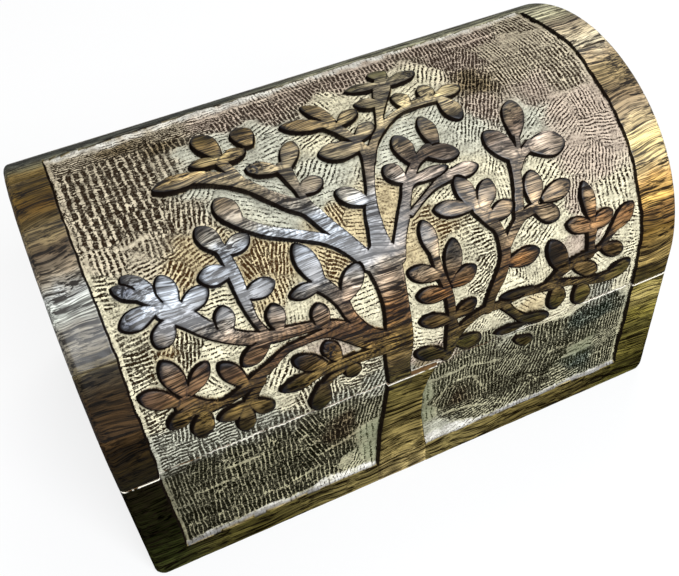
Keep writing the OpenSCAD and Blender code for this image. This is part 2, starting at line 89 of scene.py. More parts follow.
table_top = bpy.data.meshes.new("table_top")
table_top.from_pydata([(-3, -3, 0), (3, -3, 0), (3, 3, 0), (-3, 3, 0)], [], [(0, 1, 2, 3)])
floor = bpy.data.objects.new("table_top", table_top)
bpy.context.scene.collection.objects.link(floor)

# To the camera the table is brighter than its own paint, and it keeps the box's shadow.
floor_paint, tree = empty_material("pale_table")
matt_white = node(tree, "ShaderNodeBsdfDiffuse", {"Color": (TABLE_GREY, TABLE_GREY, TABLE_GREY, 1)})
lit_white = node(tree, "ShaderNodeEmission", {"Color": WHITE})
camera_ray = node(tree, "ShaderNodeLightPath").outputs["Is Camera Ray"]
glow = sum_node(tree, "MULTIPLY", camera_ray, TABLE_GLOW)
paint = node(tree, "ShaderNodeMixShader", {0: glow, 1: matt_white.outputs[0], 2: lit_white.outputs[0]})
node(tree, "ShaderNodeOutputMaterial", {"Surface": paint.outputs[0]})
floor.data.materials.append(floor_paint)

world = bpy.data.worlds.new("pale_room")
bpy.context.scene.world = world
world.use_nodes = True
tree = world.node_tree
tree.nodes.clear()
room = node(tree, "ShaderNodeBackground", {"Color": (*DAYLIGHT, 1), "Strength": ROOM_STRENGTH})
backdrop = node(tree, "ShaderNodeBackground", {"Color": WHITE, "Strength": 1.0})
rays = node(tree, "ShaderNodeLightPath").outputs
mirrored = sum_node(tree, "ADD", rays["Is Glossy Ray"], rays["Is Transmission Ray"])
seen = sum_node(tree, "ADD", rays["Is Camera Ray"], mirrored, clamp=True)
around = node(tree, "ShaderNodeMixShader", {0: seen, 1: room.outputs[0], 2: backdrop.outputs[0]})
node(tree, "ShaderNodeOutputWorld", {"Surface": around.outputs[0]})


def soft_lamp(name, place, width, height, power, colour):
    """One flat soft box that faces the middle of the box, in metres and watts."""
    light = bpy.data.lights.new(name, "AREA")
    light.shape = "RECTANGLE"
    light.size, light.size_y = width, height
    light.energy = power
    light.color = colour
    lamp = bpy.data.objects.new(name, light)
    bpy.context.scene.collection.objects.link(lamp)
    lamp.location = place
    lamp.rotation_mode = "QUATERNION"
    lamp.rotation_quaternion = (Vector(BOX_MIDDLE) - Vector(place)).to_track_quat("-Z", "Y")


soft_lamp("window", (0.15, -0.85, 0.84), width=0.5, height=0.6, power=17, colour=DAYLIGHT)
soft_lamp("over", (0.5, 0.7, 1.2), width=0.8, height=0.8, power=9, colour=WARM_LIGHT)

bpy.context.scene.view_settings.view_transform = "Standard"

# The camera stands where the photograph was taken from.
camera = bpy.data.objects.new("camera", bpy.data.cameras.new("camera"))
bpy.context.scene.collection.objects.link(camera)
bpy.context.scene.camera = camera
camera.data.sensor_width = CAMERA_SENSOR
camera.data.lens = CAMERA_LENS
camera.data.clip_start = 0.01
turn = Matrix((CAMERA_RIGHT, CAMERA_UP, CAMERA_RIGHT.cross(CAMERA_UP))).transposed()
camera.matrix_world = Matrix.Translation(CAMERA_PLACE) @ turn.to_4x4()


# ---- Front board of the base ----
# A 12 mm hardwood board glued to the ends, with the foot of the tree between two gouged fields sunk
# about 2 mm into its face. The standing wood is stained, and scorched at its edges, and the gouged
# ground is rubbed with limewash.
MM = 0.001
BOX_L, HALF_W, BOARD_T = 203, 62.7, 12
INNER_Y = HALF_W - BOARD_T
BASE_TOP, SEAM, LID_FOOT = 54.05, 54.2, 54.35
CORNER_R, FOOT_R = 2.2, 3
PANEL_LEFT, PANEL_RIGHT, PANEL_BOTTOM, PANEL_TOP = 13, 189, 10.5, 187
PANEL_DEPTH = 2.4

# Limbs of the tree as brush strokes through points [x, s, width].
LIMBS = [
    # trunk on the lid, and its fork
    [[95.7, 52, 8.6], [95.4, 62, 8.8], [96, 72, 10.5], [97.2, 84, 8.8], [97.4, 94, 9.6], [97, 102, 12]],
    # lower left: two limbs that leave the trunk together
    [[95, 74, 7], [86, 77.5, 5.4], [79, 83, 4.4], [73.5, 86.2, 3.6], [66, 86.2, 2.6], [60, 85.5, 2.8],
     [54.5, 82.6, 3.4], [49, 80, 4.2], [43, 77.2, 3.6], [37.5, 75.9, 3.2], [32, 77, 5.6], [27, 80.5, 7]],
    [[91, 78, 4], [85, 81, 5], [79, 86.5, 3.6], [73, 89.3, 3], [66, 90.5, 4], [58, 91.3, 4.6],
     [51, 93.3, 4.6], [45.5, 96.3, 5], [40, 100.5, 5.6], [35.5, 105.5, 6.4], [31, 110.5, 8]],
    [[50.5, 78.8, 3.6], [47.5, 75.5, 3.8], [45, 71.5, 5]],
    [[95, 72.6, 6.4], [87, 72.5, 4.6], [80, 73, 4.6], [73, 73.3, 4], [67, 73, 4]],
    [[77, 71.2, 3], [72, 69, 3.2], [68.4, 65.5, 4]],
    [[89.5, 78.5, 3.4], [85.5, 82.5, 4], [82.3, 88.5, 3.8], [80.8, 94, 4.6], [78.5, 98.2, 4.8],
     [75.5, 102, 5.4]],
    [[55.8, 93, 3], [53.9, 98, 2.6], [53, 104, 3.6], [52.6, 112, 4.4], [52.2, 118, 3.8], [51.3, 122.5, 4]],
    # upper left: two long limbs
    [[92.5, 102.5, 6], [88.5, 108.2, 4.6], [82, 113.9, 3.6], [74, 118.1, 3.6], [66.5, 122, 3.8],
     [60.5, 126.8, 4.2], [58.2, 130, 5]],
    [[91.5, 105.5, 4.6], [88, 111.5, 4.6], [84, 118, 4.8], [80.5, 124.5, 5.2], [76, 128, 4.8],
     [71, 133, 4], [66, 138.8, 4.4], [60, 143.6, 5.4], [53, 147.2, 5.4]],
    [[81, 125.5, 3.6], [80.3, 130.5, 2.6], [79.6, 135.5, 4], [79, 140, 5.4]],
    [[65.3, 140, 3.8], [63.6, 145.5, 3.8], [62.2, 150.5, 4.4]],
    # centre limb and its fork
    [[97.5, 102, 9], [97.9, 110, 6], [98.8, 117, 4.8], [100.9, 123, 3.2], [103, 129, 3.6],
     [105, 135, 4.4], [104, 140.5, 3.2], [101.8, 145.8, 4], [98.4, 151.5, 5]],
    [[105, 133, 4.2], [108.4, 137.8, 3.2], [112.8, 142, 3.4], [117.2, 144.8, 3], [122.5, 147, 2.6],
     [129, 148, 4], [136, 148, 5]],
    [[113.2, 142.6, 3.2], [115.4, 147.8, 3], [117.8, 152.5, 4.4], [121, 158, 6], [124.3, 163.5, 6.4]],
    # right-hand limb
    [[101.8, 101, 5.4], [104.6, 107, 4.2], [107.8, 112.4, 4.4], [110.6, 117.4, 3.6], [113.2, 121.4, 4],
     [119, 122.4, 3.4], [126, 121.8, 2.4]],
    [[110.5, 112.4, 2.4], [115.6, 115.4, 2], [120.5, 117.9, 2.6], [126.5, 119.9, 4.6]],
    [[113.5, 122.4, 3.4], [118.5, 127.3, 3.4], [124, 130, 4.4]],
    # right-hand group beside the trunk
    [[113, 56.5, 4], [114.6, 61, 4.6], [115.3, 67, 5.4], [115.2, 74, 3.4], [115.4, 80, 3.4],
     [114.8, 86, 3.2], [113.6, 92, 3.2], [113.3, 99, 3.4]],
    # lower right: the long low limb, its rising limb and their twigs
    [[115, 64.5, 4.6], [120, 69, 3.8], [126, 71.7, 3.4], [133, 71.5, 3.4], [141, 71.9, 2.4],
     [148, 71.5, 3.4], [154, 70.6, 4.4], [160, 69.2, 3.2], [166, 66.8, 3.4], [172, 65.2, 4.6],
     [177, 64.8, 5.6]],
    [[128.5, 71.5, 4], [130.2, 76.5, 3.8], [133.4, 81.8, 4.4], [136.3, 87.3, 4], [137.1, 92.5, 4.2],
     [136.4, 98, 3.6], [134.6, 102, 5], [132.4, 106.5, 6]],
    [[137.6, 91.5, 3.2], [141, 95.8, 3.6], [145.5, 99.4, 3.6], [150.5, 100.6, 4]],
    [[143.4, 97.5, 3], [145, 102.5, 3.8], [146.8, 108.5, 3.6], [148.4, 114.5, 3.8], [149.6, 119.5, 5]],
    [[149.5, 114.5, 2.6], [152.3, 118, 3.2], [156.5, 120.3, 4]],
    [[151.2, 118.5, 2], [153.6, 125.5, 2.4]],
    [[151, 71.5, 3.6], [157, 75.4, 4.4], [164, 77.6, 3.8], [171, 78.8, 2.4], [175, 81.6, 2.8],
     [178, 84.6, 4]],
    [[167.8, 77.5, 3.6], [168.4, 82, 3.2], [169.3, 87, 4.4]],
    [[135, 70, 3.8], [138.4, 65, 3.2], [142.4, 60.4, 4], [147, 57.4, 5]],
]

# Leaves of the tree as [x, s of the stalk, x, s of the tip, width].
LEAVES = [
    # lower left fan and its cluster
    [25.5, 81.8, 14.8, 88.4, 6.8], [28, 83, 24.3, 96.5, 6.8], [28.5, 83, 37, 91.2, 5.8],
    [46.2, 78.6, 39.8, 89.3, 6.2], [56.5, 91.4, 46.1, 85.2, 6.2], [30, 79.4, 20, 73.2, 6.4],
    [31.6, 76.4, 28.6, 64.4, 7.4], [46.5, 72.2, 34.6, 68.6, 6.4], [45.5, 72.4, 52.5, 64.4, 6.4],
    [44, 71.4, 42.3, 58.5, 6.4],
    # second fan
    [30.5, 111.4, 21.8, 123.9, 7], [25.5, 115.5, 18.2, 121.6, 4.6], [33.6, 109.6, 32.1, 120.6, 6.5],
    [34.2, 107.6, 44.2, 112.6, 6.4], [28.5, 111.6, 16.6, 109.4, 6.8], [31.2, 107.4, 24.8, 100.1, 7],
    [45, 96.5, 46.1, 105.8, 6.4], [60, 92, 60.3, 101.1, 6.3], [73.4, 87.4, 73.2, 96.4, 6.2],
    # stem of four leaves
    [51.8, 120.6, 47.2, 131, 6.8], [52, 119.8, 61.1, 123.2, 6], [53, 105.8, 63.4, 107.2, 6.2],
    [52.6, 114.2, 42.1, 115.4, 6.7],
    # stem of three leaves left of the trunk
    [81.2, 93.6, 89.6, 103.8, 7.2], [76.6, 100.6, 72.4, 116, 7.2], [77, 101.4, 65.8, 101, 5],
    # low cluster left of the trunk
    [70, 73.2, 55.2, 70.9, 6.2], [71.5, 74.8, 61.2, 81.2, 6.4], [76, 74.6, 72.2, 83.2, 6],
    [69.2, 68.5, 66.7, 54.2, 7.8], [78.2, 73, 80.8, 64.2, 6.2],
    # upper left limbs
    [59.8, 126.6, 56, 138.2, 7.7], [57, 147.4, 39.4, 148, 6.6], [63.5, 150.4, 52.7, 153, 4.8],
    [61.8, 149.8, 71.4, 153, 5.8], [62.4, 152, 59.2, 167.7, 8], [72.8, 152.6, 72.4, 164.6, 7.8],
    [78, 139.8, 68.2, 145, 5.8], [79.6, 139, 85.8, 150, 6.3], [80, 130.2, 88.9, 132.8, 6.2],
    # centre limb
    [99.2, 119.8, 90.4, 127.1, 6.2], [99, 150.6, 84.4, 157.4, 6.6], [101.2, 150.6, 95, 165.2, 6],
    [101.6, 149, 110.2, 154.8, 5.6], [104, 140.6, 112.2, 147, 5.8], [104.8, 138.4, 90.8, 141, 7.6],
    [119, 152.4, 110.3, 156.7, 5.8], [122.5, 162, 110.6, 165.2, 5.8], [124.4, 163.4, 124.5, 173, 7.2],
    [124.5, 160.2, 136.3, 164.8, 6.4], [125.2, 146.6, 125, 156.2, 6.4], [132.4, 146.6, 135.1, 155.8, 6.2],
    [135, 147.4, 146, 150.3, 5.8], [136.4, 147.4, 139.5, 136.6, 7],
    # right-hand limb
    [112.6, 122.2, 108.2, 129.8, 6.6], [117.6, 126.8, 116.2, 139, 7], [127, 129.6, 127.2, 142.9, 6.2],
    [121.5, 129.6, 133.4, 125.8, 6.6], [112.8, 121.6, 127.9, 122.8, 4.4], [125, 119.4, 137.5, 120, 5.4],
    # fan of four
    [131.4, 106, 128.2, 118.9, 6.6], [133, 105.6, 138.8, 114.6, 6.8], [130.4, 107.6, 117.4, 111, 5.8],
    [134, 102, 144, 105, 6.2],
    # rising limb
    [150, 117, 143.7, 129.9, 8.4], [152.8, 124.2, 158, 137.8, 7.8], [155, 119.7, 168.6, 117.8, 9],
    [150.4, 101.6, 153.6, 112.6, 7.2], [153.2, 102, 165.5, 104.6, 6.6], [149.8, 100.4, 158.8, 94.8, 6.8],
    [136.8, 86, 149.8, 85.8, 7],
    # group beside the trunk
    [114.2, 90.2, 103.3, 95.4, 6.2], [113.6, 96.6, 112.9, 109.4, 6], [116.9, 87, 121, 100.7, 6.6],
    [116.2, 85.8, 126.6, 89, 6.4], [116, 83.4, 104.4, 86.4, 6.2], [115.4, 73, 103.9, 77.2, 6],
    [115.6, 73.8, 125, 77.1, 6], [113.4, 57.4, 101.4, 64.6, 6.8], [116, 62.8, 126.6, 57.2, 7.8],
    # low limb
    [146, 73.2, 133, 73.8, 3.8], [158.2, 74.2, 153.5, 88, 7.4], [161, 76.2, 171.4, 68.8, 6.2],
    [172.2, 79.2, 181.6, 73, 6.2], [176.4, 83.2, 186.5, 90.5, 6.6], [170.4, 87, 160.1, 91.5, 6.2],
    [168.2, 87.4, 178.4, 90.2, 6.2], [169.6, 89, 169.8, 103.4, 5.6], [173.6, 63.6, 185.4, 67.8, 7.6],
    [164, 67.4, 167.2, 54.4, 7.6], [154.6, 70.2, 156.2, 57.6, 7.6], [141, 60.6, 153.6, 55.4, 5.8],
    [144, 57.2, 131.6, 57.4, 4.2], [140, 51, 147.8, 45.2, 5.6],
]

# The trunk on the front board widens to its root and to the small shelf at the seam.
ROOT = [
    [85.5, -2], [85.5, 10.5], [87.4, 30], [90.4, 48], [91.2, 54.2], [109.8, 54.2], [106.4, 49],
    [104.2, 42], [103.5, 30], [105.2, 10.5], [105.2, -2],
]

# Leaves whose tops are chipped and scorched, as [x, s, radius].
CHIPPED = [
    [20.5, 119.5, 3.6], [17.5, 110, 2.4], [72.5, 79.5, 4], [71, 143.8, 4], [133.5, 163, 3],
]


def smooth(start, end, v):
    """0 before start, 1 after end, with an even S between."""
    t = np.clip((v - start) / (end - start), 0, 1)
    return t * t * (3 - 2 * t)


def mix(a, b, t):
    return a + (b - a) * t


def hump(v, reach):
    """1 where v is 0, falling away softly over a reach to both sides."""
    return np.exp(-((v / reach) ** 2))


def ripple(x, s, pitch, seed, waves=8):
    """A soft uneven surface from about -1 to 1, its humps about a pitch apart."""
    rng = np.random.default_rng(seed)
    total = np.zeros(np.broadcast(x, s).shape)
    for _ in range(waves):
        way, phase = rng.uniform(0, 2 * np.pi, 2)
        k = 2 * np.pi / (pitch * rng.uniform(0.7, 1.6))
        total += np.cos(k * (x * np.cos(way) + s * np.sin(way)) + phase)
    return total / (1.1 * math.sqrt(waves))


def chance(number, seed_a, seed_b):
    """A fixed random share from 0 to 1 for each number."""
    v = math.sin(number * 12.9898 + seed_a * 78.233 + seed_b * 37.719) * 43758.5453
    return v - math.floor(v)


def smooth_stroke(points, steps=5):
    """Points along the soft curve of a brush stroke."""
    p = np.array(points, float)
    q = np.vstack([p[:1], p, p[-1:]])
    t = (np.arange(steps) / steps)[:, None]
    curve = [
        0.5 * (2 * b + (c - a) * t + (2 * a - 5 * b + 4 * c - d) * t**2 + (3 * b - a - 3 * c + d) * t**3)
        for a, b, c, d in zip(q, q[1:], q[2:], q[3:])
    ]
    return np.vstack(curve + [p[-1:]])


def leaf_outline(leaf, steps=16):
    """Corners of a leaf: narrow at its stalk, widest past the middle, with a blunt round tip."""
    x0, s0, x1, s1, width = leaf
    t = 1 - (1 - np.linspace(0, 1, steps)) ** 1.6
    half = np.sin(np.pi * np.clip(0.15 + 0.85 * t, 0, 1) ** 1.5).clip(0) ** 0.6 * width / 2
    along = np.array([x1 - x0, s1 - s0])
    across = np.array([-along[1], along[0]]) / np.hypot(*along)
    spine = np.array([x0, s0]) + t[:, None] * along
    return np.vstack([spine - half[:, None] * across, (spine + half[:, None] * across)[-2::-1]])


def beside_line(x, s, a, b):
    """For each point: the share of the way from a to b where it lies nearest, and how far off."""
    ex, es = b[0] - a[0], b[1] - a[1]
    t = (((x - a[0]) * ex + (s - a[1]) * es) / (ex * ex + es * es)).clip(0, 1)
    return t, np.hypot(x - a[0] - t * ex, s - a[1] - t * es)


def inside_outline(x, s, corners):
    """Distance in from an outline, negative outside."""
    nearest = np.full(x.shape, 1e9)
    inside = np.zeros(x.shape, bool)
    for a, b in zip(corners, np.roll(corners, -1, 0)):
        if math.dist(a, b) < 1e-6:
            continue
        nearest = np.minimum(nearest, beside_line(x, s, a, b)[1])
        if a[1] != b[1]:
            crosses = (a[1] > s) != (b[1] > s)
            inside ^= crosses & (x < a[0] + (s - a[1]) / (b[1] - a[1]) * (b[0] - a[0]))
    return np.where(inside, nearest, -nearest)


def rounded_edge(d, radius, drop):
    """How far a rounded edge lies below the top, a distance d in from its outline."""
    e = 1 - (d / radius).clip(0, 1)
    return drop * (1 - np.sqrt(1 - e * e))


# How far round a limb or a leaf it is worked out, how far out its wall slopes, and a distance that
# stands for none near.
REACH, WALL, FAR = 7.0, 0.38, 9.0
LIMB_EDGE_R, LIMB_EDGE_DROP, LIMB_SINK = 0.8, 0.4, 0.05
# Shares of a leaf's length: its stalk, which is part of its limb, and where its tip starts and ends.
# The tip slopes down by a least drop and up to a further one, and its edge is rounded more.
STALK, TIP_START, TIP_END = 0.28, 0.55, 1.05
LEAF_SINK, LEAST_DROP, FURTHER_DROP = 0.06, 0.15, 0.5
LEAF_EDGE_R, TIP_EDGE_R, LEAF_EDGE_DROP, TIP_EDGE_DROP = 0.9, 0.8, 0.55, 0.3
CHIP_DEPTH = 0.5


class StandingWood:
    """The tree over a grid: the height of its top (0 is the board's old face), how deep in from its
    outline each point lies, how far it is from a line cut over it, its soot, and its shade: each leaf's
    own tone with painted shade towards its tip."""

    def __init__(self, x, s):
        self.x, self.s = x, s
        self.top, self.deep = np.full(x.shape, -FAR), np.full(x.shape, -FAR)
        self.line = np.full(x.shape, FAR)
        self.soot, self.shade = np.zeros(x.shape), np.ones(x.shape)
        for stroke in LIMBS:
            points = smooth_stroke(stroke)
            for a, b in zip(points, points[1:]):
                self.add_limb(a, b)
        self.add_root()
        for number, leaf in enumerate(LEAVES):
            self.add_leaf(number, leaf)
        for chip in CHIPPED:
            self.chip(*chip)

    def window(self, corners):
        """The part of the grid round some corners, and whether there is any."""
        (x0, s0), (x1, s1) = np.min(corners, 0), np.max(corners, 0)
        i0, i1 = np.searchsorted(self.x[0], [x0 - REACH, x1 + REACH])
        j0, j1 = np.searchsorted(self.s[:, 0], [s0 - REACH, s1 + REACH])
        return (slice(j0, j1), slice(i0, i1)), i1 > i0 and j1 > j0

    def stand(self, w, d, height):
        """Stands wood up to a height, where d is the distance in from its outline."""
        self.top[w] = np.maximum(self.top[w], mix(-PANEL_DEPTH, height, smooth(-WALL, 0.03, d)))
        self.deep[w] = np.maximum(self.deep[w], d)

    def add_limb(self, a, b):
        """A stretch of a limb from a to b, each [x, s, width], its edge smoked where it crosses another."""
        w, any_there = self.window([a[:2], b[:2]])
        if not any_there or math.dist(a[:2], b[:2]) < 1e-6:
            return
        t, off = beside_line(self.x[w], self.s[w], a, b)
        d = mix(a[2], b[2], t) / 2 - off
        self.stand(w, d, -LIMB_SINK - rounded_edge(d, LIMB_EDGE_R, LIMB_EDGE_DROP))
        under = self.soot[w] + (self.deep[w] > d + 0.01)
        self.soot[w] = np.where(d > -0.1, np.minimum(under, smooth(0.9, 0, d) * 0.5), self.soot[w])

    def add_root(self):
        """The trunk on the front board, cut straight across at the seam."""
        w, any_there = self.window(ROOT)
        if not any_there:
            return
        d = inside_outline(self.x[w], self.s[w], np.array(ROOT))
        d = np.where((self.s[w] > SEAM - 1) & (d > 0), np.maximum(d, LIMB_EDGE_R), d)
        self.stand(w, d, -rounded_edge(d, LIMB_EDGE_R, LIMB_EDGE_DROP))

    def add_leaf(self, number, leaf):
        """A leaf that lies over what is there already, with a line cut round its outer part. It
        slopes down to its tip, and it is more scorched there and darkened by painted shade."""
        corners = leaf_outline(leaf)
        w, any_there = self.window(corners)
        if not any_there:
            return
        x, s = self.x[w], self.s[w]
        x0, s0, x1, s1 = leaf[:4]
        d = inside_outline(x, s, corners)
        along = ((x - x0) * (x1 - x0) + (s - s0) * (s1 - s0)) / ((x1 - x0) ** 2 + (s1 - s0) ** 2)
        tip = smooth(TIP_START, TIP_END, along)
        height = -LEAF_SINK - (LEAST_DROP + FURTHER_DROP * chance(number, 1, 3)) * tip
        height -= rounded_edge(d, LEAF_EDGE_R + TIP_EDGE_R * tip, LEAF_EDGE_DROP + TIP_EDGE_DROP * tip)
        over = (self.deep[w] > 0.15) & (along > STALK) & (along < 1.1)
        line = np.where(d > 0.2, FAR, self.line[w])
        self.line[w] = np.minimum(line, np.where(over, np.abs(d - 0.06), FAR))
        self.top[w] = np.where((d > 0) & (along > STALK), height, self.top[w])
        self.stand(w, d, height)
        inner = d > -0.1
        rim = (0.9 + 1.2 * tip + 0.8 * chance(number, 2, 5)) * (1 + 0.3 * ripple(x, s, 4, 23))
        scorch = smooth(rim, 0.1 * rim, d) * (0.68 + 0.38 * tip)
        self.soot[w] = np.where(inner, scorch, self.soot[w])
        # Each leaf has its own tone, with painted shade that darkens it from its stalk to its tip.
        darker = (0.8 + 0.45 * chance(number, 4, 22)) * (1.42 - 0.84 * along.clip(0, 1))
        self.shade[w] = np.where(inner, darker, self.shade[w])

    def chip(self, x, s, radius):
        """Chips and scorches the wood round a place."""
        near = smooth(radius, radius * 0.4, np.hypot(self.x - x, self.s - s)) * (self.deep > 0.2)
        self.top -= CHIP_DEPTH * near * (0.5 + 0.5 * ripple(self.x, self.s, 1.7, 51, 12))
        burnt = near * smooth(-0.2, 0.5, ripple(self.x, self.s, 1.6, 52, 12))
        self.soot = np.maximum(self.soot, burnt)


# Stains of the ground: the colour down in the cuts and the limed colour of what stands between.
STAINS = {
    "cream": ("22190E", "E8DFBE"), "tan": ("3A2614", "D6C49A"), "plum": ("30251E", "CAB8A4"),
    "umber": ("261C13", "CCBFA4"), "grey": ("2A271F", "CAC8B4"), "bark": ("15100A", "9C8A6A"),
    "olive": ("0D0C05", "BAB391"), "moss": ("14130A", "BFB998"), "lichen": ("30321F", "96977A"),
    "slate": ("0C1009", "9AA290"), "lime": ("564F46", "E2DED2"),
}

